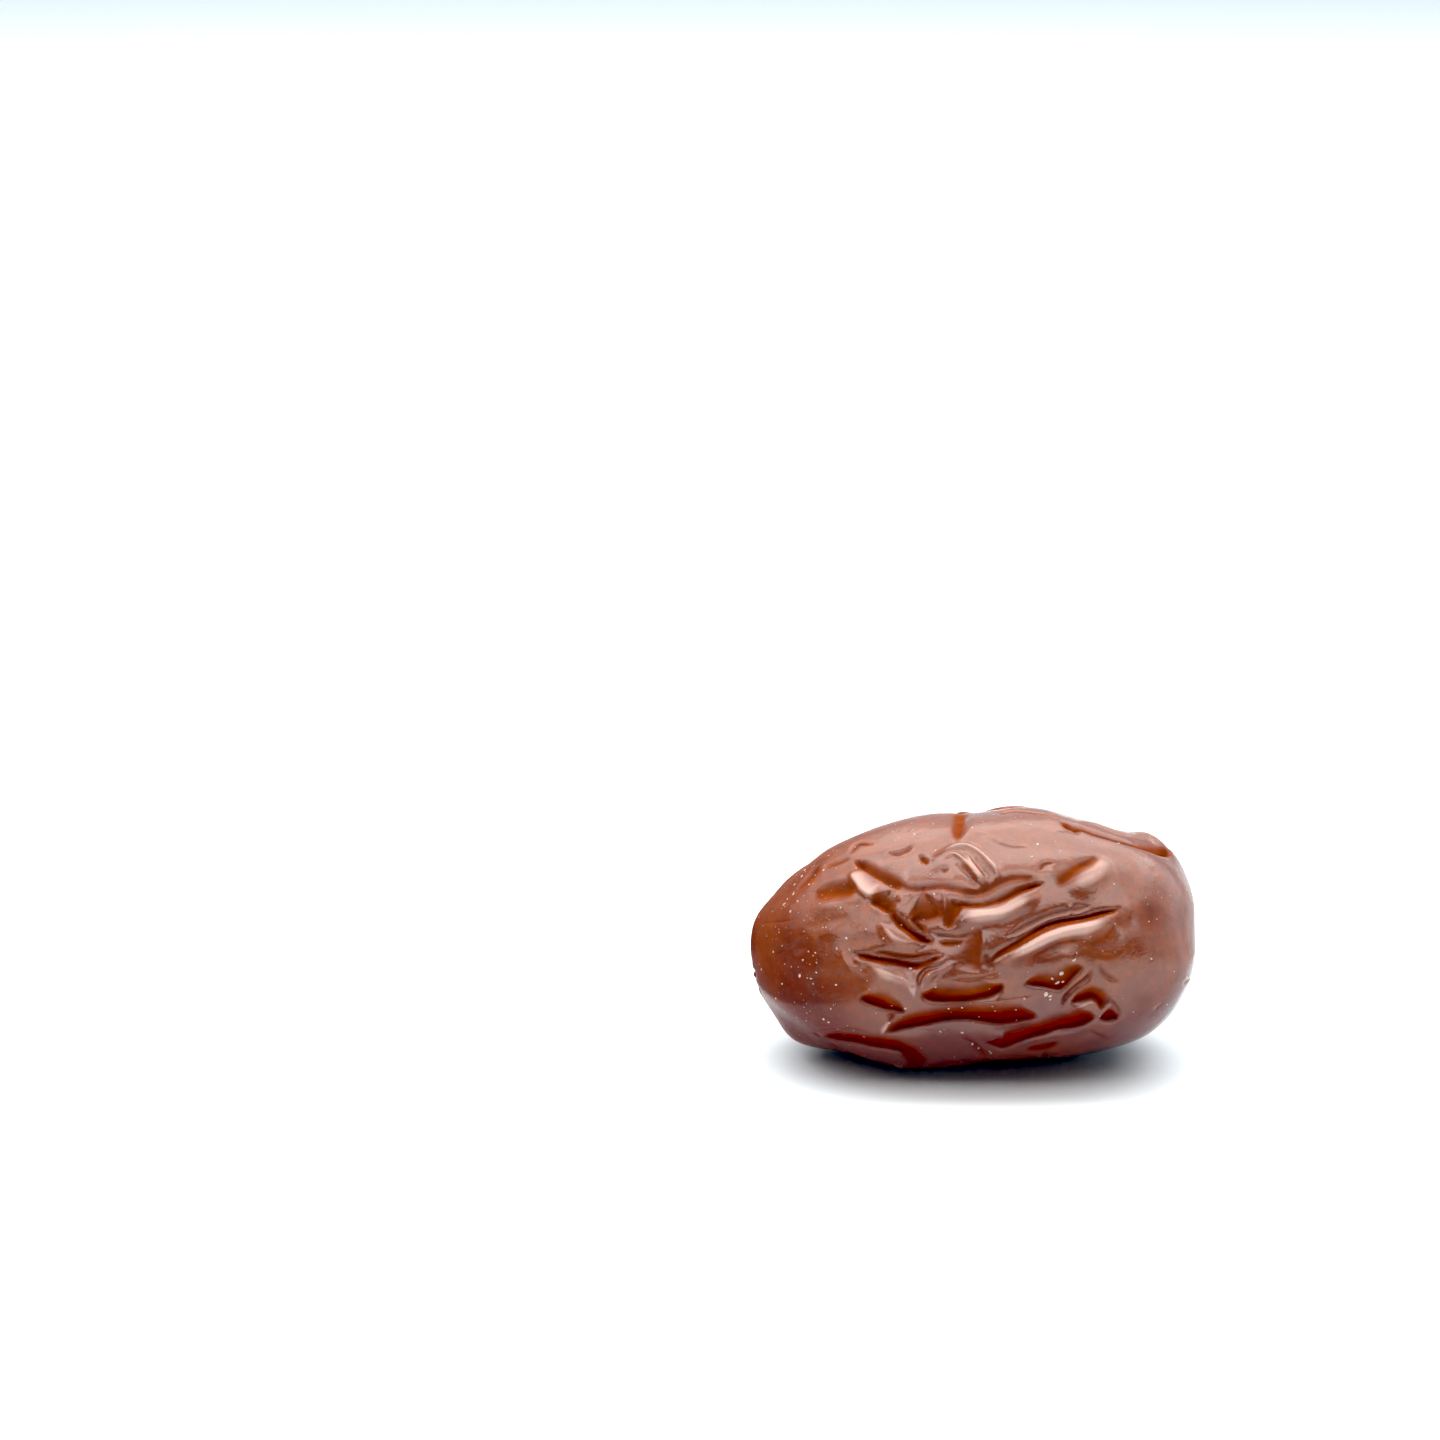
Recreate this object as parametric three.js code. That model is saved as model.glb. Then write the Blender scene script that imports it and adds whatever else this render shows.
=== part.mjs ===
// A dried jujube: one wrinkled, glossy fruit that lies on its side along X.
// Millimetres, +Z up. The stem end is at -X, and the front looks towards -Y.
import * as THREE from 'three';
import { mergeVertices } from 'three/addons/utils/BufferGeometryUtils.js';

// Driving dimensions of the fruit before it wrinkled
const LENGTH = 43;
const HALF_LENGTH = LENGTH / 2;
const RADIUS = 12.4;
// An end of power 2 is a plain ellipse, and a higher power makes it blunter
const STEM_END_POWER = 2.2;
const TIP_END_POWER = 2.9;
// The stem end hangs lower than the tip: the middle line rises over this stretch
const MIDDLE_RISE = 1.1;
const RISE_PLACE = -6.5;
const RISE_REACH = 7;
// How far below the middle the fruit is pressed flat where it rests
const REST_LEVEL = -11.75;
const SURFACE_DETAIL = 23;

// The folds of the front are given as they look from one point in front of the fruit
const EYE_DISTANCE = 386;
const EYE_ELEVATION = THREE.MathUtils.degToRad(17);
const EYE_LEFT = 24.4;
const EYE_ABOVE = 21.1;

// Colour and finish of the skin
const SKIN_COLOUR = 0x6e2412;
const SKIN_ROUGHNESS = 0.3;

// Each fold: name, depth (a ridge is negative), its reach above its line (one, or several spread from its start
// to its end), its reach below, how square its section is (1 is a sharp crease, 3 a steep-sided valley), the
// share of its length that fades out at each end, and its line in mm right of and above the middle of the
// fruit, as seen from the eye point
const FRONT_FOLDS = [
  ['slash roll', 0.8, 2.3, 0.5, 1.5, 0.45, [[1.2, -2.5], [2.7, -1.6], [4.6, -0.4], [6.5, 0.8],
    [8.5, 1.5], [10.9, 2], [13.5, 2.6], [15.2, 2.7]]],
  ['left trough', 0.35, 1.2, 1.2, 2, 0.4, [[-12.6, -1.6], [-9.4, -2.1], [-6, -2.7], [-2.7, -1.6]]],
  ['waist', 0.45, 1.8, 1.8, 2, 0.5, [[-8.9, 1.3], [-6, 0.6], [-2.7, 0], [0.2, -0.2]]],
  ['upper valley left', 0.8, [0.1, 0.7, 0.95, 1.05, 1.05, 0.9], 0.28, 1.3, 0.2, [[-11.3, 7.5],
    [-10.4, 6.8], [-9.6, 6.3], [-8.8, 5.9], [-8.1, 5.5], [-7.3, 5]]],
  ['upper valley rim', 0.35, 0.6, 0.8, 1.5, 0.35, [[-7.8, 5.6], [-6.5, 5], [-5.1, 4.8], [-3.1, 5],
    [-1.7, 4.7], [-0.2, 4.3]]],
  ['upper valley', 0.8, [1.35, 1.35, 1.15, 1.55, 1.5, 0.95, 0.5, 0.1], 0.26, 1.4, 0.15, [[-1.7, 3.3],
    [-0.2, 3.2], [1.2, 3.3], [2.7, 3.7], [3.8, 4.2], [4.8, 4.7], [5.9, 5.1], [7.1, 5.4]]],
  ['upper valley foot', 0.35, [0.6, 0.45, 0.35, 0.4, 0.5, 0.6, 0.4, 0.1], 0.2, 1.3, 0.15, [[-1.7, 3.3],
    [-0.2, 3.2], [1.2, 3.3], [2.7, 3.7], [3.8, 4.2], [4.8, 4.7], [5.9, 5.1], [7.1, 5.4]]],
  ['hollow', 0.5, [0.6, 1.5, 1.7, 1.2], 0.5, 1.8, 0.3, [[-5.6, 2.2], [-4.5, 2.2], [-3.5, 2.3],
    [-2.9, 2.6]]],
  ['hollow ridge', -0.35, 0.28, 0.28, 1.5, 0.4, [[-3, 4.8], [-2.7, 3.9], [-2.7, 2.9], [-3, 1.6]]],
  ['hollow right', 0.5, [0.5, 1, 1.3, 1.1], 0.24, 1.4, 0.2, [[-2.5, 0.9], [-2.1, 1.7], [-1.6, 2.6],
    [-1, 3.4]]],
  ['bright lip', -0.5, 1.1, 1.5, 2, 0.35, [[-1.5, 1], [-0.6, 1.5], [0.7, 1.8], [2.7, 2], [4.1, 2.5],
    [5.4, 3.3], [6.6, 3.8]]],
  ['lip groove', 0.12, 0.22, 0.22, 1.6, 0.4, [[-0.5, 2.5], [1, 2.5], [2.5, 2.8], [3.6, 3.3]]],
  ['white triangle', -0.45, 1.6, 0.35, 1.6, 0.3, [[-11.8, 6.4], [-11.3, 5.4], [-10.6, 4.6],
    [-9.9, 4.2], [-8.8, 4.5], [-7.4, 5]]],
  ['below triangle', 0.65, 1.15, 0.28, 1.3, 0.35, [[-10.1, 3.8], [-9.1, 3.4], [-8.4, 2.9], [-7.7, 2.4]]],
  ['plate', -0.3, 0.9, 0.9, 2.5, 0.5, [[-6.2, 4.3], [-6.4, 3.2]]],
  ['diagonal valley', 0.75, [0.3, 0.5, 0.6, 0.6, 0.5, 0.4, 0.2], 0.26, 1.3, 0.2, [[-8.1, 2.9],
    [-7.5, 1.9], [-6.9, 1.3], [-6.2, 0.7], [-5.5, 0.2], [-4.6, -0.2], [-3.7, -0.3]]],
  ['diagonal beside', 0.35, 0.3, 0.2, 1.3, 0.3, [[-6.1, 2.2], [-5.4, 1.4], [-4.6, 0.6]]],
  ['white facet', -0.45, 1.3, 0.45, 1.6, 0.35, [[-7.4, -0.6], [-6.2, -0.7], [-5, -0.2]]],
  ['star line', 0.3, [0.12, 0.25, 0.25, 0.15], 0.2, 1.3, 0.25, [[-4.1, 0.7], [-3.3, 0.4], [-2.4, 0.3],
    [-1.4, 0.2], [-0.4, 0.4], [0.3, 0.9]]],
  ['star hollow', 0.4, [0.2, 0.6, 0.65, 0.25], 0.22, 1.3, 0.25, [[-3.3, -0.6], [-2.6, -0.7],
    [-1.8, -0.7], [-0.8, -0.5]]],
  ['star ray', 0.25, 0.25, 0.25, 1.4, 0.4, [[-5.7, -1.3], [-4.7, -0.9], [-3.8, -0.4]]],
  ['brown facet', 0.35, [0.8, 1.7, 1.6, 0.7], 0.24, 1.6, 0.25, [[0.7, -3.4], [0.5, -1.8], [0.5, -0.4],
    [0.7, 1.2]]],
  ['facet ridge', -0.25, 0.25, 0.25, 1.5, 0.4, [[0.9, 0.8], [1.1, -0.7], [0.9, -2.3]]],
  ['hook dip', 0.3, 0.35, 0.35, 1.5, 0.4, [[1.2, -1.3], [1.5, -2.2], [1.9, -3.1]]],
  ['slash', 0.7, [0.2, 0.4, 0.45, 0.42, 0.38, 0.32, 0.15], 0.22, 1.3, 0.12, [[1.3, -2.7], [1.9, -2.1],
    [2.7, -1.5], [3.6, -1], [4.6, -0.4], [5.6, 0.2], [6.5, 0.8], [7.5, 1.3], [8.5, 1.6], [9.6, 1.8],
    [10.9, 2], [12.3, 2.4], [13.5, 2.7], [14.6, 3]]],
  ['slash beside', 0.45, [0.15, 0.35, 0.4, 0.32, 0.15], 0.2, 1.3, 0.2, [[3.2, 0.2], [4.1, 0.6],
    [5.1, 1.2], [6.1, 1.7], [7.3, 2.3], [8.3, 2.6], [9.2, 2.8], [10.4, 3], [11.5, 3.2]]],
  ['slash lip', -0.45, 0.9, 1, 1.8, 0.3, [[2.8, -2.4], [4.6, -1.7], [6.5, -0.8], [8.5, 0], [10.4, 0.4],
    [12.3, 0.9], [13.7, 1.8]]],
  ['slash bump', -0.2, 0.3, 0.3, 2, 0.5, [[9.2, 3], [10, 2.9]]],
  ['slash foot', 0.2, 0.3, 0.6, 1.4, 0.4, [[3, -2.5], [4.8, -1.8], [6.5, -1.1], [8.1, -0.4], [9.9, 0],
    [11.4, 0.2]]],
  ['right dip 1', 0.25, 1.5, 1.5, 2, 0.5, [[11.2, 0], [12.9, -0.4], [14.6, -0.7]]],
  ['right dip 2', 0.22, 1.4, 1.4, 2, 0.5, [[15.3, 3.5], [15, 1.9], [14.1, 0.6]]],
  ['right dip 3', 0.18, 1.2, 1.2, 2, 0.5, [[17.1, 3.7], [17.3, 2], [17.1, 0.3]]],
  ['leaf slash', 0.6, [0.5, 1, 0.8, 0.6, 0.45, 0.15], 0.26, 1.3, 0.25, [[8.1, 4.8], [8.7, 5.5],
    [9.5, 6.1], [10.3, 6.7], [11.1, 7.2], [12.1, 7.8]]],
  ['leaf facet', -0.25, 1.5, 0.9, 2, 0.4, [[9, 4.3], [10.4, 4.6], [11.6, 5.3], [12.5, 6.3], [12.9, 7.3]]],
  ['notch', 0.2, 0.18, 0.18, 1.5, 0.35, [[6.3, 6.3], [6.8, 7], [7.4, 7.2], [8, 7.2]]],
  ['bright strip', -0.15, 0.5, 0.5, 2, 0.5, [[7.4, 6.8], [7.2, 5.6]]],
  ['lobe outer', -0.4, 0.35, 0.3, 1.4, 0.25, [[-4.4, 7.3], [-3.5, 8.1], [-2.4, 8.7], [-0.9, 9],
    [0.3, 8.5], [1.5, 7.4], [2.3, 6.3], [2.3, 5.1]]],
  ['lobe inner', -0.36, 0.25, 0.22, 1.4, 0.25, [[-2.8, 7.7], [-2, 8.2], [-1.2, 7.8], [-0.4, 7],
    [0.3, 6.1], [1.1, 5]]],
  ['lobe third', -0.3, 0.22, 0.22, 1.4, 0.3, [[-0.6, 8.3], [-0.2, 7.3], [0.6, 6.2], [1.6, 5.2]]],
  ['lobe valley', 0.3, 0.28, 0.25, 1.5, 0.3, [[-1.7, 7.2], [-0.7, 6.5], [0, 5.6], [0.6, 4.8]]],
  ['lobe valley 2', 0.25, 0.25, 0.25, 1.5, 0.3, [[-0, 7.8], [0.8, 6.9], [1.6, 5.8]]],
  ['lobe hollow', 0.15, 0.8, 0.8, 2, 0.5, [[-4.1, 6.4], [-2.9, 6.3], [-1.7, 6.1]]],
  ['top groove', 0.5, 0.7, 0.7, 2.8, 0.35, [[-1.2, 12.2], [-1.3, 10.8], [-1.4, 9.5]]],
  ['top groove tail', 0.25, 0.3, 0.25, 1.4, 0.4, [[-1.7, 9.4], [-2.4, 8.9], [-3.1, 8.4], [-4.1, 7.7]]],
  ['ripple', 0.3, 0.25, 0.4, 1.5, 0.4, [[-8.4, 8.2], [-7.2, 8.3], [-6.3, 8.7], [-5.7, 9.3]]],
  ['notch left', 0.4, 0.28, 0.28, 1.5, 0.5, [[-5.1, 8.2], [-4.7, 7.7], [-4.2, 7.2]]],
  ['notch mid', 0.22, 0.22, 0.25, 1.5, 0.5, [[-3.2, 6.9], [-2.7, 6.7], [-2.2, 6.7]]],
  ['thin ridge', -0.15, 0.22, 0.22, 1.4, 0.4, [[0, 10.5], [1.1, 10], [2.5, 9.3], [3.8, 8.9],
    [5.2, 8.8], [5.9, 8.4]]],
  ['bump ring', -0.18, 0.2, 0.2, 1.8, 0.5, [[3.4, 9.9], [3.2, 9.3]]],
  ['bump', -0.16, 0.25, 0.25, 2, 0.5, [[3.7, 9.3], [4.1, 9.4]]],
  ['crescent', -0.14, 0.4, 0.4, 2, 0.5, [[7.7, 10.3], [8.8, 10], [10, 10]]],
  ['dimple', 0.2, 0.4, 0.4, 2, 0.5, [[9.6, 10.4], [10.4, 10.3]]],
  ['split', 0.85, [0.4, 0.9, 0.6, 0.4, 0.6, 0.9, 1.3, 1.6, 1.6, 0.8], 0.28, 1.3, 0.12, [[8.6, 11.5],
    [9.1, 11], [9.7, 10.7], [10.7, 10.7], [11.8, 10.3], [13.3, 9.9], [14.7, 9.5], [16.2, 9.1],
    [17.6, 8.7], [19.3, 8.3]]],
  ['split lip', -0.3, 1.2, 0.6, 1.8, 0.3, [[10.4, 11.5], [12.3, 11.1], [14.3, 10.4], [16.2, 10],
    [17.9, 9.5], [19.1, 8.9]]],
  ['split start', 0.25, 0.2, 0.2, 1.4, 0.3, [[2.8, 12], [3.3, 12.3], [4.6, 12.3], [6.1, 12.1],
    [7.5, 12], [8.6, 11.7]]],
  ['left dip 1', 0.3, [0.6, 0.95, 0.9, 0.6], 0.9, 2.4, 0.35, [[-15.4, 4.3], [-14.2, 4.5], [-12.8, 4.7],
    [-11, 4.9]]],
  ['left dip 2', 0.25, 0.6, 0.65, 2.2, 0.4, [[-17.1, 4.7], [-16.1, 5.7], [-14.7, 7]]],
  ['left dip 3', 0.18, 0.35, 0.35, 2, 0.4, [[-14.2, 6.9], [-13, 7.2], [-11.6, 7.7]]],
  ['left crease', 0.3, 0.25, 0.22, 1.4, 0.4, [[-11.8, 7.9], [-11.4, 8.4], [-10.9, 8.9], [-10.1, 8.9],
    [-9.5, 8.9]]],
  ['left dip 4', 0.15, 0.7, 0.8, 2, 0.5, [[-16.1, 1.1], [-14.2, 1.6], [-11.8, 2.3]]],
  ['left lobe 1', -0.25, 1, 1, 2, 0.5, [[-15.7, 2.9], [-13.3, 3.2], [-10.7, 3.5]]],
  ['left lobe 2', -0.2, 0.8, 0.8, 2, 0.5, [[-14.9, 0.2], [-13.6, 0.7], [-12, 1.1]]],
  ['left trough 2', 0.15, 0.8, 1, 2, 0.5, [[-13, -0.8], [-10.9, -0.1], [-7.8, 0.3]]],
  ['left wedge', 0.25, 0.8, 0.5, 1.6, 0.5, [[-17.4, -1.6], [-16.5, -0.8], [-15.5, 0]]],
  ['scratch 1', 0.1, 0.15, 0.15, 1.2, 0.3, [[-19.4, -1.9], [-18.4, -1.3], [-17.3, -0.6], [-15.9, 0.3]]],
  ['scratch 2', 0.08, 0.15, 0.15, 1.2, 0.3, [[-20.5, 1.5], [-19.1, 1.5], [-17.6, 1.6], [-16.7, 1.9]]],
  ['lower left parallel', 0.35, [0.12, 0.28, 0.3, 0.28, 0.12], 0.18, 1.3, 0.25, [[-9.7, -1.3],
    [-8.6, -1.4], [-7.2, -1.7], [-5.8, -1.8], [-4.6, -1.6], [-3.4, -1.3]]],
  ['lower left crease', 0.65, [0.15, 0.2, 0.22, 0.28, 0.42, 0.5, 0.42, 0.3, 0.15], 0.2, 1.3, 0.15, [
    [-11.5, -1.4], [-10.5, -1.8], [-9.1, -2.1], [-7.8, -2.3], [-6.7, -2.6], [-5.7, -2.8], [-4.7, -2.6],
    [-3.7, -2.1], [-2.8, -1.7]]],
  ['white lip 1', -0.25, 0.35, 0.4, 1.6, 0.4, [[-11.2, -2], [-10.5, -2.3], [-9.8, -2.4]]],
  ['white lip 2', -0.35, 0.8, 0.7, 1.8, 0.4, [[-9.2, -3.1], [-8.2, -3.6], [-7.1, -4]]],
  ['left loop', -0.22, 0.22, 0.22, 1.4, 0.4, [[-12.5, -1.2], [-12.4, -1.9], [-11.9, -2.6],
    [-11.2, -2.8], [-10.6, -2.6]]],
  ['brown crease', 0.45, [0.6, 1.5, 1.9, 1.8, 1.2, 0.4], 0.6, 1.7, 0.3, [[-15.9, -4.3], [-14.5, -4.5],
    [-13.2, -4.7], [-12, -4.6], [-11.1, -4.2], [-10.1, -3.4]]],
  ['leaf valley roll', -0.25, 1.6, 0.9, 2, 0.4, [[-10.7, -5.1], [-9.4, -5], [-8.2, -5.3], [-7.3, -6.1],
    [-6.5, -6.8]]],
  ['leaf valley', 0.8, [0.3, 0.85, 1.15, 1.25, 0.85, 0.2], 0.22, 1.5, 0.2, [[-10.8, -5.5], [-10.1, -6],
    [-9.3, -6.4], [-8.4, -6.7], [-7.4, -6.8], [-6.4, -7]]],
  ['crossing ridge 1', -0.3, 0.28, 0.28, 1.5, 0.35, [[-2.7, -1.9], [-3.6, -2.3], [-4.6, -2.7],
    [-5.3, -3.3], [-5.5, -4.2], [-5.6, -5], [-5.7, -6]]],
  ['crossing valley', 0.35, 0.25, 0.25, 1.4, 0.4, [[-2.4, -2.4], [-3.4, -2.8], [-4.5, -3.1],
    [-5.1, -3.9], [-5.2, -4.8]]],
  ['crossing ridge 2', -0.28, 0.25, 0.25, 1.5, 0.35, [[-1.7, -2.3], [-2.7, -2.8], [-3.9, -3.2],
    [-4.7, -3.8], [-4.9, -4.5], [-4.8, -5.3]]],
  ['crossing ridge 3', -0.28, 0.3, 0.3, 1.5, 0.4, [[-7.4, -3.3], [-6.5, -3.9], [-6, -4.6], [-5.7, -5.5]]],
  ['small triangle', 0.4, 0.45, 0.35, 1.6, 0.5, [[-8.4, -7.4], [-7.8, -7.5], [-8.1, -8]]],
  ['triangle ridge', -0.22, 0.25, 0.25, 1.4, 0.4, [[-7.2, -7.2], [-7.9, -7.9], [-8.5, -8.7],
    [-8.8, -9.4]]],
  ['long valley 1 roll', -0.3, 2, 1.15, 2, 0.35, [[-8.4, -9.1], [-7.7, -8.2], [-6.7, -7.4], [-5.3, -7],
    [-3.6, -6.9], [-1.7, -6.6], [0.2, -6.5], [2.7, -6.3], [4.6, -6.4], [6.2, -6.9]]],
  ['long valley 1', 1.05, [0.1, 0.8, 1.3, 1.3, 1.1, 1.15, 1.25, 1.5, 1.7, 1.45, 1.05, 0.3], 0.22, 1.5, 0.12, [
    [-8.6, -9.3], [-7.3, -8.9], [-6, -8.6], [-4.6, -8.3], [-3.1, -7.9], [-1.7, -7.7], [-0.2, -7.7],
    [1.2, -7.9], [2.7, -8], [4.1, -7.8], [5.4, -7.5], [6.5, -7.1]]],
  ['low left valley roll', -0.3, 1.6, 0.9, 2, 0.35, [[-14, -9.3], [-12.3, -9], [-10.4, -9.2],
    [-8.5, -9.5], [-7, -9.8], [-6, -10.6], [-5.1, -11.9]]],
  ['low left valley', 0.9, [0.1, 0.8, 0.95, 1.05, 1.05, 1.15, 1.05, 0.2], 0.22, 1.5, 0.12, [
    [-14.2, -9.7], [-12.6, -9.9], [-11.4, -10], [-9.9, -10.3], [-8.5, -10.5], [-7, -10.9],
    [-6.1, -11.6], [-5.3, -12.4]]],
  ['tiny left', 0.25, 0.25, 0.2, 1.5, 0.5, [[-15.6, -9.4], [-15.3, -9.7], [-14.8, -10]]],
  ['faint line 1', 0.12, 0.2, 0.25, 1.5, 0.4, [[-7, -9.2], [-5.8, -9.1], [-4.9, -8.9], [-4.1, -9.2]]],
  ['mid valley roll', -0.3, 1.3, 1.1, 2, 0.35, [[-4.9, -5], [-4.4, -4.5], [-3.5, -4.3], [-2.4, -4.5],
    [-1, -4.6], [0.3, -4.5], [1.5, -4.3], [2.8, -3.9]]],
  ['mid valley', 1, [0.2, 1.25, 1.35, 1.35, 1.2, 1.1, 1.25, 1.15, 0.3], 0.22, 1.5, 0.12, [[-5.1, -5.2],
    [-4.3, -5.8], [-3.1, -6], [-1.7, -6], [-0.2, -5.9], [0.7, -5.7], [1.7, -5.5], [2.5, -5.1],
    [3.1, -4.3]]],
  ['mid crease', 0.28, 0.25, 0.22, 1.4, 0.35, [[-2, -3.9], [-0.2, -3.9], [1.2, -3.7], [2.2, -3.4],
    [2.8, -3.2]]],
  ['crest line', -0.12, 0.2, 0.2, 1.5, 0.4, [[-1.4, -6.2], [1.2, -6.1], [3.6, -5.9], [5.6, -5.6],
    [7.1, -5.1]]],
  ['dusty valley roll', -0.25, 1.6, 1.1, 2, 0.4, [[5, -4.3], [5.7, -3.6], [7, -3.2], [8.1, -3.4],
    [8.8, -2.7], [9.7, -1.8], [10.5, -1.7]]],
  ['dusty valley', 0.85, [0.2, 0.95, 1.25, 1.35, 1.65, 1.5, 1.2, 0.5], 0.22, 1.5, 0.2, [[4.8, -4.3],
    [5.7, -4.4], [6.7, -4.5], [7.7, -4.7], [8.5, -4.8], [9.1, -4.3], [9.9, -3.4], [10.8, -2.5]]],
  ['arch left', 0.35, 0.28, 0.25, 1.4, 0.3, [[8.5, -6.7], [8.8, -5.9], [9.4, -5.2], [10.1, -4.6],
    [10.8, -4.1], [11.3, -3.5], [11.5, -2.7]]],
  ['arch roll', -0.2, 0.7, 0.8, 2, 0.4, [[9.6, -6], [10.4, -5.3], [11.2, -4.7], [11.9, -4.8],
    [12.5, -5.6], [12.8, -6.8]]],
  ['arch', 0.8, [0.1, 0.6, 1, 1, 0.9, 0.3], 0.22, 1.5, 0.2, [[9.4, -6.2], [10.4, -5.9], [11.2, -5.7],
    [11.7, -5.7], [12.2, -6.1], [12.5, -6.9]]],
  ['arch curl', -0.3, 0.25, 0.25, 1.5, 0.35, [[9, -7], [10.1, -6.5], [11.2, -6.1], [11.8, -6.1],
    [12.2, -6.6], [12.3, -7.2], [12.1, -7.9]]],
  ['long valley 2 roll', -0.3, 1.6, 0.95, 2, 0.35, [[1.3, -9.7], [2.2, -9.4], [3.1, -9], [4.1, -8.6],
    [5.6, -8.1], [7, -7.7], [8.5, -7.3], [9.9, -7], [11.4, -6.5], [12.1, -6.9]]],
  ['long valley 2', 1, [0.1, 0.7, 1.05, 1.15, 0.95, 0.85, 0.85, 0.8, 1, 1.15, 0.7], 0.22, 1.5, 0.12, [
    [1.2, -10], [2, -10.1], [2.8, -10.4], [3.5, -10.1], [4.4, -9.6], [5.6, -9], [7, -8.7], [8.5, -8.2],
    [9.6, -8.2], [10.9, -7.9], [12, -7.3]]],
  ['thin parallel', 0.22, 0.22, 0.2, 1.4, 0.3, [[1.7, -8.5], [2.7, -8.6], [3.8, -8.5], [4.9, -8.2],
    [6.1, -7.9]]],
  ['small hollow', 0.7, [0.8, 1.2, 0.3], 0.22, 1.5, 0.3, [[12.4, -7.7], [13.3, -7.9], [14.3, -7.7]]],
  ['right fold 1', 0.3, 0.35, 0.3, 1.5, 0.4, [[12, -2.2], [12.6, -3.1], [13.4, -3.8], [14.3, -4.2]]],
  ['right fold 2', 0.28, 0.25, 0.25, 1.5, 0.4, [[13, -5.5], [13.6, -6.3], [14.1, -7], [14.4, -7.8]]],
  ['right soft dip', 0.15, 0.9, 0.9, 2, 0.5, [[15.2, -6.2], [16.2, -6.4], [17.2, -6.7]]],
  ['low line 1', 0.2, 0.25, 0.22, 1.5, 0.4, [[10.9, -8.8], [11.5, -9.1], [12.3, -9.7], [13.2, -10]]],
  ['low hollow', 0.5, [0.4, 0.65, 0.6, 0.2], 0.22, 1.4, 0.25, [[5.8, -10.4], [6.8, -10.6],
    [7.6, -10.4], [8.3, -9.9]]],
  ['faint line 2', 0.16, 0.25, 0.25, 1.6, 0.4, [[5.6, -9.4], [6.5, -9.2], [8, -9], [9.4, -8.9],
    [10.9, -8.7]]],
  ['low diagonal', 0.22, 0.28, 0.25, 1.5, 0.4, [[-1.2, -9.4], [-0.6, -9.8], [0, -10.2], [0.7, -10.8],
    [1.4, -11.6]]],
  ['low notch', 0.22, 0.3, 0.3, 1.6, 0.5, [[6.8, -10.8], [7.2, -11.4], [7.5, -12]]],
  ['tip facet', -0.25, 0.6, 0.6, 2, 0.5, [[-7.7, -11.8], [-6.7, -12.6]]],
  ['low left ridge', 0.2, 0.3, 0.25, 1.5, 0.4, [[-15.5, -9.1], [-14, -8.9], [-11.8, -8.9], [-10.1, -9.2]]],
  ['end crease', 0.15, 0.2, 0.18, 1.4, 0.4, [[20.1, -4.2], [20.6, -4.1], [21, -3.9]]],
  ['end scratch', 0.08, 0.15, 0.15, 1.3, 0.4, [[17.5, -7], [17.9, -6.5], [18.4, -6.1]]],
  ['fleck 1', 0.08, 0.15, 0.15, 1.3, 0.4, [[15.2, 2.2], [15.7, 1.4]]],
  ['fleck 2', 0.08, 0.15, 0.15, 1.3, 0.4, [[17.3, 6.9], [17.7, 6.1]]],
];

// The hidden side carries folds drawn at random from one seed, which run side by side along one slow flow
const HIDDEN_SEED = 5;
const HIDDEN_FOLDS = 64;
const HIDDEN_FROM = THREE.MathUtils.degToRad(112);
const HIDDEN_TO = THREE.MathUtils.degToRad(280);
const HIDDEN_FIRST_X = -19;
const HIDDEN_LAST_X = 18;
const HIDDEN_SPREAD_X = 0.7548777;
const HIDDEN_SPREAD_ANGLE = 0.5698403;
const HIDDEN_STEP = 2;
const HIDDEN_ENDS = 0.35;
const FLOW_DRIFT = 0.11;
const FLOW_LENGTH = 5.5;
const FLOW_ROUND = 2.3;
const STRAY_DRIFT = 0.045;
const HIDDEN_KINDS = [
  { name: 'hidden groove', depth: [0.65, 0.95], above: [0.7, 1.3], below: 0.28, power: 1.5, steps: [3, 7] },
  { name: 'hidden crease', depth: [0.4, 0.7], above: [0.3, 0.6], below: 0.4, power: 1.6, steps: [3, 8] },
  { name: 'hidden ridge', depth: [-0.45, -0.25], above: [0.5, 1.1], below: 0.4, power: 1.6, steps: [3, 8] },
  { name: 'hidden dip', depth: [0.35, 0.6], above: [1, 1.8], below: 1.3, power: 2.2, steps: [1, 4] },
];

// Slow swelling and sinking of the whole skin
const SWELL_SEED = 3;
const SWELL_COUNT = 14;
const SWELL_DEPTH = 0.16;
const SWELL_LENGTH = 15;
const SWELL_ROUND = 8;

// Broad dents of the whole fruit (a bulge is negative): x, angle round the fruit in degrees, depth and reach
const DENTS = [
  [13.3, 107, 1.1, 5],
  [-12, -73, 1.2, 4.5],
  [-20, -60, 0.9, 4],
  [-9, 107, -0.5, 5],
  [5.5, 107, -0.3, 3],
  [19.3, 107, -0.4, 2.5],
  [2, -73, 0.35, 5],
  [14, -73, 0.3, 4],
  [-0.5, 107, 0.2, 2.6],
  [-16, 107, 0.25, 2],
  [12, 107, -0.25, 1.6],
  [16.8, 107, -0.3, 2.2],
  [21.6, 50, 0.4, 5],
  [18.5, -60, 0.3, 2.5],
  [-17.5, -68, -0.4, 2.2],
  [-21.8, 0, -0.35, 2.2],
];

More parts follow.
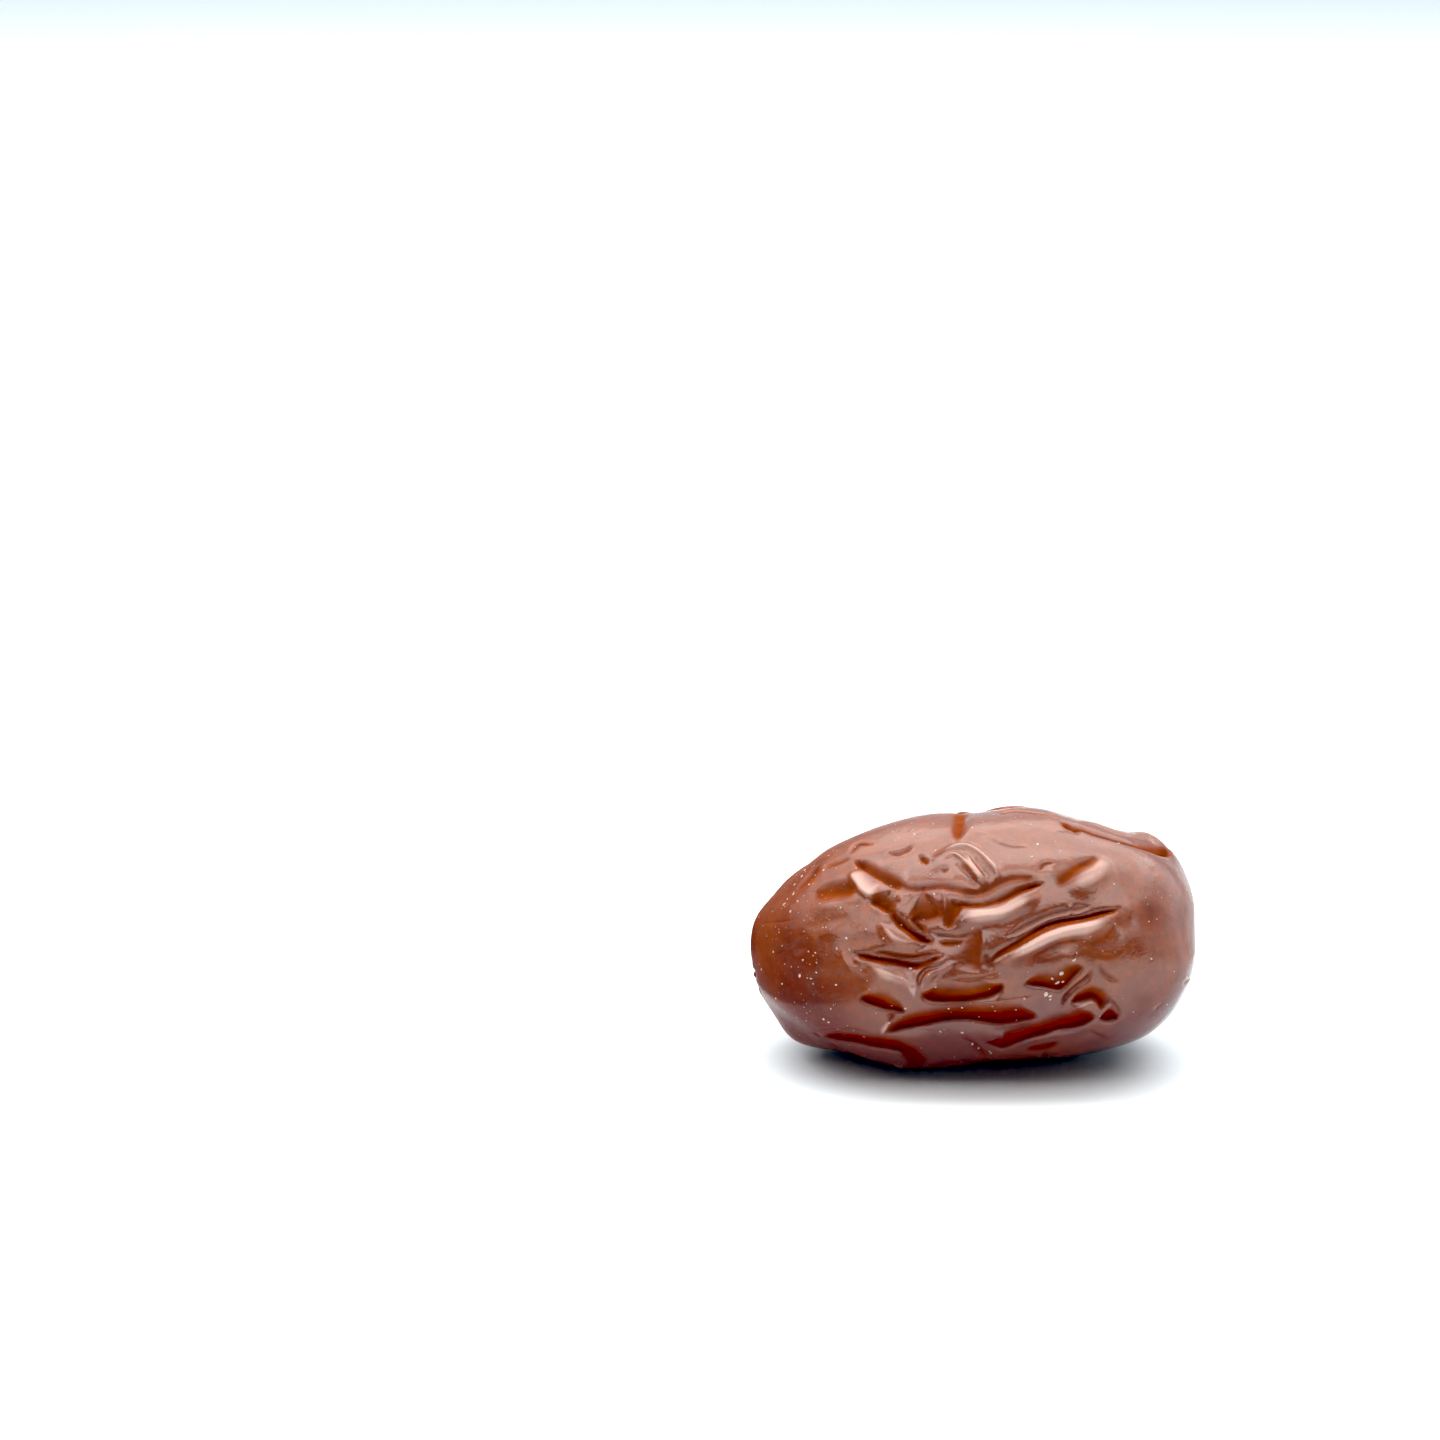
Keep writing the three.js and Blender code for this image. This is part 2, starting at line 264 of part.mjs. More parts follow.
// The stem scar sits in a small hollow, and the tip ends in a dimple with a point in it
const SCARS = [
  { x: -21.3, angle: -100, hollow: 0.35, reach: 1.6, knob: 0.4, knobReach: 0.45, puckers: 7 },
  { x: 21.4, angle: 160, hollow: 0.3, reach: 1.4, knob: 0.2, knobReach: 0.4, puckers: 6 },
];
const PUCKER_DEPTH = 0.1;
const PUCKER_RING = 3;

// How finely lines are laid, how many reaches away a fold still counts, and the narrowest reach that the
// facets of the skin can follow
const SPLINE_STEP = 0.5;
const SIGHT_STEP = 0.1;
const SIGHT_REACH = 1.5 * RADIUS;
const FOLD_REACH = 2.6;
const SIDE_STEEPNESS = 1.5;
const NARROWEST = 0.35;
// Points of the skin beside a sharp fold are drawn towards its line, so that the line stays clean
const SHARP_POWER = 1.6;
const GATHER = 0.5;
const GATHER_REACH = 0.6;
const TABLE_STEPS = 600;
const SMALL = 1e-9;

// The numbers of a well known random sequence
const DRAW_FACTOR = 1664525;
const DRAW_STEP = 1013904223;
const DRAW_RANGE = 2 ** 32;

// A small repeatable source of random numbers
function makeDraw(seed) {
  let state = seed;
  return (low, high) => {
    state = (state * DRAW_FACTOR + DRAW_STEP) % DRAW_RANGE;
    return low + (high - low) * state / DRAW_RANGE;
  };
}

function endPower(x) {
  return x < 0 ? STEM_END_POWER : TIP_END_POWER;
}

// Radius of the unwrinkled fruit at x
function radiusAt(x) {
  const power = endPower(x);
  const share = Math.min(1, Math.abs(x) / HALF_LENGTH);
  return RADIUS * (1 - share ** power) ** (1 / power);
}

// Height of the middle line at x
function middleAt(x) {
  return MIDDLE_RISE * (Math.tanh((x - RISE_PLACE) / RISE_REACH) - Math.tanh(-RISE_PLACE / RISE_REACH));
}

// The outline from the stem end to the tip, with the skin area that lies before each station
function makeOutline() {
  const stations = [];
  let area = 0;
  for (let i = 0; i <= TABLE_STEPS; i += 1) {
    const turn = Math.PI * i / TABLE_STEPS;
    const power = endPower(-Math.cos(turn));
    const x = -HALF_LENGTH * Math.sign(Math.cos(turn)) * Math.abs(Math.cos(turn)) ** (2 / power);
    const radius = RADIUS * Math.sin(turn) ** (2 / power);
    if (i > 0) {
      const last = stations[i - 1];
      area += (radius + last.radius) * Math.hypot(x - last.x, radius - last.radius);
    }
    stations.push({ x, radius, area });
  }
  return stations;
}

const OUTLINE = makeOutline();
const WHOLE_AREA = OUTLINE[TABLE_STEPS].area;

// The place along the outline that has the given share of the skin before it
function stationAt(share) {
  const wanted = share * WHOLE_AREA;
  let low = 0;
  let high = TABLE_STEPS;
  while (high - low > 1) {
    const middle = Math.floor((low + high) / 2);
    if (OUTLINE[middle].area <= wanted) {
      low = middle;
    } else {
      high = middle;
    }
  }
  const a = OUTLINE[low];
  const b = OUTLINE[high];
  const part = (wanted - a.area) / (b.area - a.area);
  const run = Math.hypot(b.x - a.x, b.radius - a.radius);
  return {
    x: a.x + (b.x - a.x) * part,
    radius: a.radius + (b.radius - a.radius) * part,
    normalX: (a.radius - b.radius) / run,
    normalR: (b.x - a.x) / run,
  };
}

// A point of the skin and its outward direction, from a direction on the unit ball
function skinPoint(direction) {
  const station = stationAt((1 + direction.x) / 2);
  const ring = Math.hypot(direction.y, direction.z) || 1;
  const y = direction.y / ring;
  const z = direction.z / ring;
  return {
    place: new THREE.Vector3(station.x, station.radius * y, middleAt(station.x) + station.radius * z),
    normal: new THREE.Vector3(station.normalX, station.normalR * y, station.normalR * z),
  };
}

// The skin at x and at an angle that starts at the front and goes up over the top
function skinAt(x, angle) {
  const radius = radiusAt(x);
  return new THREE.Vector3(x, -radius * Math.cos(angle), middleAt(x) + radius * Math.sin(angle));
}

const EYE_RIGHT_WAY = new THREE.Vector3(1, 0, 0);
const EYE_FORWARD = new THREE.Vector3(0, Math.cos(EYE_ELEVATION), -Math.sin(EYE_ELEVATION));
const EYE_UP_WAY = new THREE.Vector3(0, Math.sin(EYE_ELEVATION), Math.cos(EYE_ELEVATION));
const EYE = EYE_FORWARD.clone().multiplyScalar(-EYE_DISTANCE)
  .addScaledVector(EYE_RIGHT_WAY, -EYE_LEFT)
  .addScaledVector(EYE_UP_WAY, EYE_ABOVE);

// How far a point is outside the unwrinkled skin
function outside(point) {
  const x = THREE.MathUtils.clamp(point.x, -HALF_LENGTH, HALF_LENGTH);
  return Math.hypot(point.y, point.z - middleAt(x)) - radiusAt(x) + Math.abs(point.x - x);
}

// The skin that the eye sees at a place in its view, or the nearest skin where it just misses
function seenPoint(across, up) {
  const target = EYE_RIGHT_WAY.clone().multiplyScalar(across).addScaledVector(EYE_UP_WAY, up);
  const way = target.clone().sub(EYE).normalize();
  const start = target.distanceTo(EYE) - SIGHT_REACH;
  let nearest = start;
  let nearestGap = Infinity;
  for (let run = start; run < start + 2 * SIGHT_REACH; run += SIGHT_STEP) {
    const gap = outside(EYE.clone().addScaledVector(way, run));
    if (gap < nearestGap) {
      nearestGap = gap;
      nearest = run;
    }
    if (gap < 0) {
      break;
    }
  }
  const point = EYE.clone().addScaledVector(way, nearest);
  const x = THREE.MathUtils.clamp(point.x, -HALF_LENGTH, HALF_LENGTH);
  const angle = Math.atan2(point.z - middleAt(x), -point.y);
  return skinAt(x, angle);
}

// A fold with its line laid on the skin, ready to be measured against
function layFold(fold, line) {
  const lengths = [0];
  for (let i = 1; i < line.length; i += 1) {
    lengths.push(lengths[i - 1] + line[i].distanceTo(line[i - 1]));
  }
  const above = [fold.above].flat().map((reach) => Math.max(reach, NARROWEST));
  const below = Math.max(fold.below, NARROWEST);
  const centre = new THREE.Box3().setFromPoints(line).getCenter(new THREE.Vector3());
  const reach = FOLD_REACH * Math.max(...above, below);
  const furthest = Math.max(...line.map((point) => point.distanceTo(centre)));
  return { ...fold, above, below, line, lengths, centre, reach, radius: furthest + reach };
}

function frontFolds() {
  return FRONT_FOLDS.map(([name, depth, above, below, power, ends, points]) => {
    const flat = new THREE.SplineCurve(points.map(([across, up]) => new THREE.Vector2(across, up)));
    const count = Math.max(2, Math.ceil(flat.getLength() / SPLINE_STEP));
    const line = flat.getSpacedPoints(count).map((point) => seenPoint(point.x, point.y));
    return layFold({ name, depth, above, below, power, ends }, line);
  });
}

// Long folds of mixed kinds for the side that the eye point doesn't see
function hiddenFolds() {
  const draw = makeDraw(HIDDEN_SEED);
  const folds = [];
  for (let i = 0; i < HIDDEN_FOLDS; i += 1) {
    const kind = HIDDEN_KINDS[Math.floor(draw(0, HIDDEN_KINDS.length))];
    const steps = Math.round(draw(...kind.steps));
    const room = HIDDEN_LAST_X - HIDDEN_FIRST_X - steps * HIDDEN_STEP;
    let x = HIDDEN_FIRST_X + room * ((i * HIDDEN_SPREAD_X) % 1);
    let angle = HIDDEN_FROM + (HIDDEN_TO - HIDDEN_FROM) * ((i * HIDDEN_SPREAD_ANGLE) % 1);
    const stray = draw(-STRAY_DRIFT, STRAY_DRIFT);
    const points = [];
    for (let j = 0; j <= steps; j += 1) {
      points.unshift(new THREE.Vector2(x, angle));
      angle += stray + FLOW_DRIFT * Math.sin(x / FLOW_LENGTH + FLOW_ROUND * angle);
      angle = THREE.MathUtils.clamp(angle, HIDDEN_FROM, HIDDEN_TO);
      x += HIDDEN_STEP;
    }
    const count = Math.ceil(steps * HIDDEN_STEP / SPLINE_STEP);
    const line = new THREE.SplineCurve(points).getPoints(count).map((point) => skinAt(point.x, point.y));
    const depth = draw(...kind.depth);
    const above = draw(...kind.above);
    folds.push(layFold({ ...kind, depth, above, ends: HIDDEN_ENDS }, line));
  }
  return folds;
}

// The point of a fold's line that is nearest to a place: how far off it lies, how far along the line it is as
// a share of it, and the offset from it
function nearestOnLine(fold, place) {
  const whole = fold.lengths[fold.lengths.length - 1];
  const best = { distance: Infinity, along: 0, offset: new THREE.Vector3(), way: new THREE.Vector3() };
  const way = new THREE.Vector3();
  const offset = new THREE.Vector3();
  for (let i = 1; i < fold.line.length; i += 1) {
    const length = fold.lengths[i] - fold.lengths[i - 1];
    way.subVectors(fold.line[i], fold.line[i - 1]).divideScalar(length);
    offset.subVectors(place, fold.line[i - 1]);
    const run = THREE.MathUtils.clamp(offset.dot(way), 0, length);
    offset.addScaledVector(way, -run);
    const distance = offset.length();
    if (distance < best.distance) {
      best.distance = distance;
      best.along = (fold.lengths[i - 1] + run) / whole;
      best.offset.copy(offset);
      best.way.copy(way);
    }
  }
  return best;
}

// Draws a place beside a sharp fold towards the line of that fold
function gatherTo(fold, place) {
  if (fold.power > SHARP_POWER || place.distanceTo(fold.centre) > fold.radius) {
    return;
  }
  const { distance, along, offset } = nearestOnLine(fold, place);
  const fade = Math.min(1, along / fold.ends, (1 - along) / fold.ends);
  const pull = GATHER * fade * Math.exp(-((distance / GATHER_REACH) ** 2));
  place.addScaledVector(offset, -pull);
}

// The value at a share of the way along evenly spread values
function spreadAt(values, share) {
  const spot = share * (values.length - 1);
  const before = Math.min(Math.floor(spot), values.length - 1);
  const after = Math.min(before + 1, values.length - 1);
  return THREE.MathUtils.lerp(values[before], values[after], spot - before);
}

// How deep one fold presses the skin in at a place
function foldDepth(fold, place, normal) {
  if (place.distanceTo(fold.centre) > fold.radius) {
    return 0;
  }
  const { distance, along, offset, way } = nearestOnLine(fold, place);
  if (distance > fold.reach) {
    return 0;
  }
  const side = offset.dot(new THREE.Vector3().crossVectors(normal, way)) / Math.max(distance, SMALL);
  const fade = Math.sin(Math.PI / 2 * Math.min(1, along / fold.ends, (1 - along) / fold.ends));
  const blend = (1 + THREE.MathUtils.clamp(side * SIDE_STEEPNESS, -1, 1)) / 2;
  const fullWidth = THREE.MathUtils.lerp(fold.below, spreadAt(fold.above, along), blend);
  const width = fullWidth * (1 + fade) / 2;
  return fold.depth * fade * Math.exp(-((distance / width) ** fold.power));
}

// Slow waves over the whole skin
function makeSwell() {
  const draw = makeDraw(SWELL_SEED);
  const waves = [];
  for (let i = 0; i < SWELL_COUNT; i += 1) {
    const turn = draw(0, 2 * Math.PI);
    const lean = draw(-1, 1);
    const size = 2 * Math.PI * draw(0.7, 1.4);
    const flat = Math.sqrt(1 - lean * lean);
    const way = new THREE.Vector3(
      size * lean / SWELL_LENGTH,
      size * flat * Math.cos(turn) / SWELL_ROUND,
      size * flat * Math.sin(turn) / SWELL_ROUND,
    );
    waves.push({ way, start: draw(0, 2 * Math.PI) });
  }
  const scale = SWELL_DEPTH / Math.sqrt(SWELL_COUNT / 2);
  return (place) => scale * waves.reduce((sum, wave) => sum + Math.sin(wave.way.dot(place) + wave.start), 0);
}

// How deep one broad dent presses the skin in at a place
function dentDepth([x, degrees, depth, reach], place) {
  const distance = place.distanceTo(skinAt(x, THREE.MathUtils.degToRad(degrees)));
  return depth * Math.exp(-((distance / reach) ** 2));
}

// The hollow, the puckers round it and the knob of one scar
function scarDepth(scar, place) {
  const offset = place.clone().sub(skinAt(scar.x, THREE.MathUtils.degToRad(scar.angle)));
  const distance = offset.length();
  const turn = Math.atan2(offset.z, offset.y);
  const hollow = scar.hollow * Math.exp(-((distance / scar.reach) ** 2));
  const ring = Math.exp(-(((distance - scar.reach) / scar.reach) ** 2) * PUCKER_RING);
  const puckers = PUCKER_DEPTH * ring * Math.cos(scar.puckers * turn);
  const knob = scar.knob * Math.exp(-((distance / scar.knobReach) ** 2));
  return hollow + puckers - knob;
}

function makeFruit() {
  const folds = [...frontFolds(), ...hiddenFolds()];
  const swell = makeSwell();
  const ball = new THREE.IcosahedronGeometry(1, SURFACE_DETAIL);
  ball.deleteAttribute('normal');
  ball.deleteAttribute('uv');
  const geometry = mergeVertices(ball);
  const positions = geometry.getAttribute('position');
  const direction = new THREE.Vector3();
  for (let i = 0; i < positions.count; i += 1) {
    direction.fromBufferAttribute(positions, i).normalize();
    const { place, normal } = skinPoint(direction);
    for (const fold of folds) {
      gatherTo(fold, place);
    }
    let depth = swell(place);
    for (const fold of folds) {
      depth += foldDepth(fold, place, normal);
    }
    for (const dent of DENTS) {
      depth += dentDepth(dent, place);
    }
    for (const scar of SCARS) {
      depth += scarDepth(scar, place);
    }
    place.addScaledVector(normal, -depth);
    positions.setXYZ(i, place.x, place.y, Math.max(place.z, REST_LEVEL));
  }
  geometry.computeBoundingBox();
  const box = geometry.boundingBox;
  geometry.translate(-(box.min.x + box.max.x) / 2, -(box.min.y + box.max.y) / 2, -box.min.z);
  geometry.computeVertexNormals();
  return geometry;
}

const skin = new THREE.MeshStandardMaterial({
  color: SKIN_COLOUR,
  roughness: SKIN_ROUGHNESS,
  metalness: 0,
});
const fruit = new THREE.Mesh(makeFruit(), skin);
fruit.name = 'jujube_fruit';

const jujube = new THREE.Group();
jujube.add(fruit);

export default jujube;
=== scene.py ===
# A dried jujube on a white table: the fine skin, its colour and gloss, the dust on it, the light and the camera.
import math

import bpy
import numpy as np
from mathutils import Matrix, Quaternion, Vector
from mathutils.bvhtree import BVHTree


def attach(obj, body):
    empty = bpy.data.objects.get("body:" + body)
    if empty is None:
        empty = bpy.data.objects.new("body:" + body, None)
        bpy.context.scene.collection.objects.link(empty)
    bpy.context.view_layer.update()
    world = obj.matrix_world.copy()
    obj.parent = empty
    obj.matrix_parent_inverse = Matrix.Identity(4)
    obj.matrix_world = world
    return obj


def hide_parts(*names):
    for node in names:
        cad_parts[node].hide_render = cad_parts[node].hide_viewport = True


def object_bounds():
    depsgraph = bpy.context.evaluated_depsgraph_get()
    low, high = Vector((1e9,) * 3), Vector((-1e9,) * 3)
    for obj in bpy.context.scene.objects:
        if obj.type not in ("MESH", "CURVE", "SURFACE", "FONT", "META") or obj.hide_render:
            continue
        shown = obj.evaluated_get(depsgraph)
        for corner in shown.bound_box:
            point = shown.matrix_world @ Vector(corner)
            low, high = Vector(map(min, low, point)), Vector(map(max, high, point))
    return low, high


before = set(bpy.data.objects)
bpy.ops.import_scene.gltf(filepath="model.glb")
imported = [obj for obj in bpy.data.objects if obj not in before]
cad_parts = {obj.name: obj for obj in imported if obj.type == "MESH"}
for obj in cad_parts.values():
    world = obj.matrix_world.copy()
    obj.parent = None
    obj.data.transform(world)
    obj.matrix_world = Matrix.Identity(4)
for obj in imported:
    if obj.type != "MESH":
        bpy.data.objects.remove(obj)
cad_low, cad_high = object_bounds()

# The fruit. One oblong dried fruit whose skin sank into folds as the flesh lost its water. It grew as one
# piece: glossy red-brown skin, a corky stem scar in a hollow at one end and a point at the other.
MM = 0.001
HALF_LENGTH = 21.5
RADIUS = 12.4
STEM_END_POWER = 2.2
TIP_END_POWER = 2.9
MIDDLE_RISE = 1.1
RISE_PLACE = -6.5
RISE_REACH = 7
REST_LEVEL = -11.75
SKIN_DETAIL = 98

# The point that the front folds are drawn from
EYE_DISTANCE = 386
EYE_ELEVATION = math.radians(17)
EYE_LEFT = 24.4
EYE_ABOVE = 21.1

# Each fold: name, depth (a ridge is negative), reach above its line (or several, from its start to its end),
# reach below its line, how square its section is,
# the share of its length that fades out at each end, how much of the light its inside misses, and its line in
# mm right of and above the middle
FRONT_FOLDS = [
    ("slash roll", 0.6, 2.3, 0.28, 1.5, 0.45, 0, [(1.2, -2.5), (2.7, -1.6), (4.6, -0.4), (6.5, 0.8),
      (8.5, 1.5), (10.9, 2), (13.5, 2.6), (15.2, 2.7)]),
    ("left trough", 0.35, 1.2, 1.2, 2, 0.4, 0, [(-12.6, -1.6), (-9.4, -2.1), (-6, -2.7), (-2.7, -1.6)]),
    ("waist", 0.45, 1.8, 1.8, 2, 0.5, 0, [(-8.9, 1.3), (-6, 0.6), (-2.7, 0), (0.2, -0.2)]),
    ("upper valley left", 0.65, (0.2, 0.7, 0.95, 1.05, 1.05, 0.9), 0.25, 1.4, 0.2, 0.8, [(-11.5, 7.5),
      (-10.4, 6.8), (-9.6, 6.3), (-8.8, 5.9), (-8.1, 5.5), (-6.9, 4.8)]),
    ("upper valley rim", 0.32, 0.5, 0.35, 1.6, 0.2, 0.7, [(-7.8, 5.6), (-6.5, 5.1), (-5.1, 4.9),
      (-3.1, 5.1), (-1.7, 4.8), (-0.2, 4.4), (1.2, 4.6), (2.7, 5.4), (4.1, 5.8), (5.6, 5.8), (6.8, 5.6)]),
    ("upper valley", 0.36, (1.35, 1.35, 1.15, 1.4, 1.3, 0.85, 0.5, 0.1), 0.22, 1.4, 0.15, 0.3, [
      (-1.7, 3.3), (-0.2, 3.2), (1.2, 3.3), (2.7, 3.7), (3.8, 4.2), (4.8, 4.7), (5.9, 5.1), (7.1, 5.4)]),
    ("upper valley foot", 0.22, (0.6, 0.45, 0.35, 0.4, 0.5, 0.6, 0.4, 0.1), 0.2, 1.3, 0.15, 0.85, [
      (-1.7, 3.3), (-0.2, 3.2), (1.2, 3.3), (2.7, 3.7), (3.8, 4.2), (4.8, 4.7), (5.9, 5.1), (7.1, 5.4)]),
    ("hollow", 0.55, (1.2, 2.8, 3, 2), 0.6, 2.3, 0.25, 0.85, [(-6.2, 2.4), (-4.9, 2.2), (-3.7, 2.4),
      (-2.8, 3)]),
    ("hollow ridge", -0.35, 0.28, 0.28, 1.5, 0.4, 0, [(-3, 4.8), (-2.7, 3.9), (-2.7, 2.9), (-3, 1.6)]),
    ("hollow right", 0.5, (0.5, 1, 1.3, 1.1), 0.24, 1.4, 0.2, 0.9, [(-2.5, 0.9), (-2.1, 1.7),
      (-1.6, 2.6), (-1, 3.4)]),
    ("bright lip", -0.5, 0.9, 0.9, 2.3, 0.3, 0, [(-1.5, 1.3), (-0.6, 2), (0.7, 2.3), (2.7, 2.5),
      (4.1, 3.1), (5.4, 3.8), (6.7, 4.3)]),
    ("lip groove", 0.14, 0.25, 0.25, 1.6, 0.4, 0, [(-0.5, 2.7), (1, 2.8), (2.5, 3.1), (3.6, 3.6)]),
    ("white triangle", -0.45, (1.6, 1.6, 1.7, 1.5, 1.2, 0.8), 0.35, 1.6, 0.22, 0, [(-11.8, 6.4),
      (-11.3, 5.4), (-10.6, 4.6), (-9.9, 4.2), (-8.8, 4.5), (-7.3, 5)]),
    ("below triangle", 0.65, 1.15, 0.28, 1.3, 0.35, 0.9, [(-10.1, 3.8), (-9.1, 3.4), (-8.4, 2.9),
      (-7.7, 2.4)]),
    ("plate", -0.25, 0.55, 0.55, 2.2, 0.5, 0, [(-7, 4.6), (-6.8, 3.5)]),
    ("diagonal valley", 0.6, (0.3, 0.5, 0.6, 0.6, 0.5, 0.4, 0.2), 0.26, 1.3, 0.2, 0.9, [(-8.1, 2.9),
      (-7.5, 1.9), (-6.9, 1.3), (-6.2, 0.7), (-5.5, 0.2), (-4.6, -0.2), (-3.7, -0.3)]),
    ("diagonal beside", 0.35, 0.3, 0.2, 1.3, 0.3, 0.8, [(-6.1, 2.2), (-5.4, 1.4), (-4.6, 0.6)]),
    ("white facet", -0.5, (0.3, 0.5, 0.8, 1.1, 1.2, 0.8), 0.5, 1.8, 0.3, 0, [(-8.8, 1.6), (-8.3, 0.8),
      (-7.5, 0), (-6.4, -0.4), (-5.1, -0.3)]),
    ("star line", 0.3, (0.12, 0.25, 0.25, 0.15), 0.2, 1.3, 0.25, 0.5, [(-4.1, 0.7), (-3.3, 0.4),
      (-2.4, 0.3), (-1.4, 0.2), (-0.4, 0.4), (0.3, 0.9)]),
    ("star hollow", 0.25, (0.1, 0.3, 0.3, 0.1), 0.2, 1.3, 0.25, 0.9, [(-3.3, -0.4), (-2.6, -0.5),
      (-1.8, -0.5), (-0.8, -0.3)]),
    ("star ray", 0.25, 0.25, 0.25, 1.4, 0.4, 0.3, [(-5.7, -1.3), (-4.7, -0.9), (-3.8, -0.4)]),
    ("brown facet", 0.35, (0.8, 1.7, 1.6, 0.7), 0.24, 1.6, 0.25, 0.75, [(0.7, -3.4), (0.5, -1.8),
      (0.5, -0.4), (0.7, 1.2)]),
    ("facet ridge", -0.25, 0.25, 0.25, 1.5, 0.4, 0, [(0.9, 0.8), (1.1, -0.7), (0.9, -2.3)]),
    ("hook dip", 0.3, 0.35, 0.35, 1.5, 0.4, 0.7, [(1.2, -1.3), (1.5, -2.2), (1.9, -3.1)]),
    ("slash", 0.34, (0.2, 0.3, 0.38, 0.36, 0.32, 0.26, 0.12), 0.16, 1.3, 0.12, 0.8, [(1.3, -2.7),
      (1.9, -2.1), (2.7, -1.5), (3.6, -1), (4.6, -0.4), (5.6, 0.2), (6.5, 0.8), (7.5, 1.3), (8.5, 1.6),
      (9.6, 1.8), (10.9, 2), (12.3, 2.4), (13.5, 2.7), (14.6, 3)]),
    ("slash beside", 0.24, (0.15, 0.35, 0.4, 0.32, 0.15), 0.2, 1.4, 0.2, 0.5, [(3.2, 0.2), (4.1, 0.6),
      (5.1, 1.2), (6.1, 1.7), (7.3, 2.3), (8.3, 2.6), (9.2, 2.8), (10.4, 3), (11.5, 3.2)]),
    ("slash lip", -0.5, 0.6, 0.95, 2, 0.25, 0, [(2.7, -2), (4.6, -1.1), (6.5, -0.1), (8.5, 0.7),
      (10.4, 1.1), (12.3, 1.5), (13.9, 2.3)]),
    ("slash bump", -0.2, 0.3, 0.3, 2, 0.5, 0, [(9.2, 3), (10, 2.9)]),
    ("slash foot", 0.2, 0.3, 0.6, 1.4, 0.4, 0.5, [(3, -2.5), (4.8, -1.8), (6.5, -1.1), (8.1, -0.4),
      (9.9, 0), (11.4, 0.2)]),
    ("right dip 1", 0.17, 1.5, 1.5, 2, 0.5, 0.6, [(10.8, 0), (12.7, -0.2), (14.6, 0.3)]),
    ("right dip 2", 0.14, 1.2, 1.2, 2, 0.5, 0.55, [(15.3, 3.2), (14.9, 1.9), (14.1, 0.8)]),
    ("right dip 3", 0.18, 1.2, 1.2, 2, 0.5, 0.45, [(17.1, 3.7), (17.3, 2), (17.1, 0.3)]),
    ("leaf slash", 0.4, (0.5, 1, 0.8, 0.6, 0.45, 0.15), 0.5, 1.7, 0.3, 0.9, [(8.1, 5), (8.7, 5.6),
      (9.5, 6.2), (10.3, 6.8), (11.1, 7.2), (12.1, 7.9)]),
    ("leaf facet", -0.38, 1.4, 1.2, 2, 0.3, 0, [(9, 4.7), (10.4, 5.4), (11.6, 6.1), (12.5, 7),
      (12.9, 7.8)]),
    ("notch", 0.2, 0.18, 0.18, 1.5, 0.35, 0.7, [(6.3, 6.3), (6.8, 7), (7.4, 7.2), (8, 7.2)]),
    ("bright strip", -0.15, 0.5, 0.5, 2, 0.5, 0, [(7.4, 6.8), (7.2, 5.6)]),
    ("lobe outer", -0.4, 0.35, 0.3, 1.4, 0.25, 0, [(-4.4, 7.3), (-3.5, 8.1), (-2.4, 8.7), (-0.9, 9),
      (0.3, 8.5), (1.5, 7.4), (2.3, 6.3), (2.3, 5.1)]),
    ("lobe inner", -0.36, 0.25, 0.22, 1.4, 0.25, 0, [(-2.8, 7.7), (-2, 8.2), (-1.2, 7.8), (-0.4, 7),
      (0.3, 6.1), (1.1, 5)]),
    ("lobe third", -0.3, 0.22, 0.22, 1.4, 0.3, 0, [(-0.6, 8.3), (-0.2, 7.3), (0.6, 6.2), (1.6, 5.2)]),
    ("lobe valley", 0.22, 0.28, 0.25, 1.5, 0.3, 0.25, [(-1.7, 7.2), (-0.7, 6.5), (0, 5.6), (0.6, 4.8)]),
    ("lobe valley 2", 0.12, 0.25, 0.25, 1.5, 0.3, 0.1, [(-0, 7.8), (0.8, 6.9), (1.6, 5.8)]),
    ("lobe hollow", 0.15, 0.8, 0.8, 2, 0.5, 0, [(-4.1, 6.4), (-2.9, 6.3), (-1.7, 6.1)]),
    ("top groove", 0.45, 0.65, 0.65, 2.3, 0.35, 0.85, [(-1.1, 12.6), (-1.3, 10.8), (-1.6, 9.3)]),
    ("top groove tail", 0.25, 0.3, 0.25, 1.4, 0.4, 0.6, [(-1.7, 9.4), (-2.4, 8.9), (-3.1, 8.4),
      (-4.1, 7.7)]),
    ("ripple", 0.3, 0.25, 0.4, 1.5, 0.4, 0.5, [(-8.4, 8.2), (-7.2, 8.3), (-6.3, 8.7), (-5.7, 9.3)]),
    ("notch left", 0.4, 0.28, 0.28, 1.5, 0.5, 0.8, [(-5.1, 8.2), (-4.7, 7.7), (-4.2, 7.2)]),
    ("notch mid", 0.22, 0.22, 0.25, 1.5, 0.5, 0.5, [(-3.2, 6.9), (-2.7, 6.7), (-2.2, 6.7)]),
    ("thin ridge", -0.15, 0.22, 0.22, 1.4, 0.4, 0, [(0, 10.5), (1.1, 10), (2.5, 9.3), (3.8, 8.9),
      (5.2, 8.8), (5.9, 8.4)]),
    ("bump ring", -0.18, 0.2, 0.2, 1.8, 0.5, 0, [(3.4, 9.9), (3.2, 9.3)]),
    ("bump", -0.16, 0.25, 0.25, 2, 0.5, 0, [(3.7, 9.3), (4.1, 9.4)]),
    ("crescent", -0.14, 0.4, 0.4, 2, 0.5, 0, [(7.7, 10.3), (8.8, 10), (10, 10)]),
    ("dimple", 0.2, 0.4, 0.4, 2, 0.5, 0, [(9.6, 10.4), (10.4, 10.3)]),
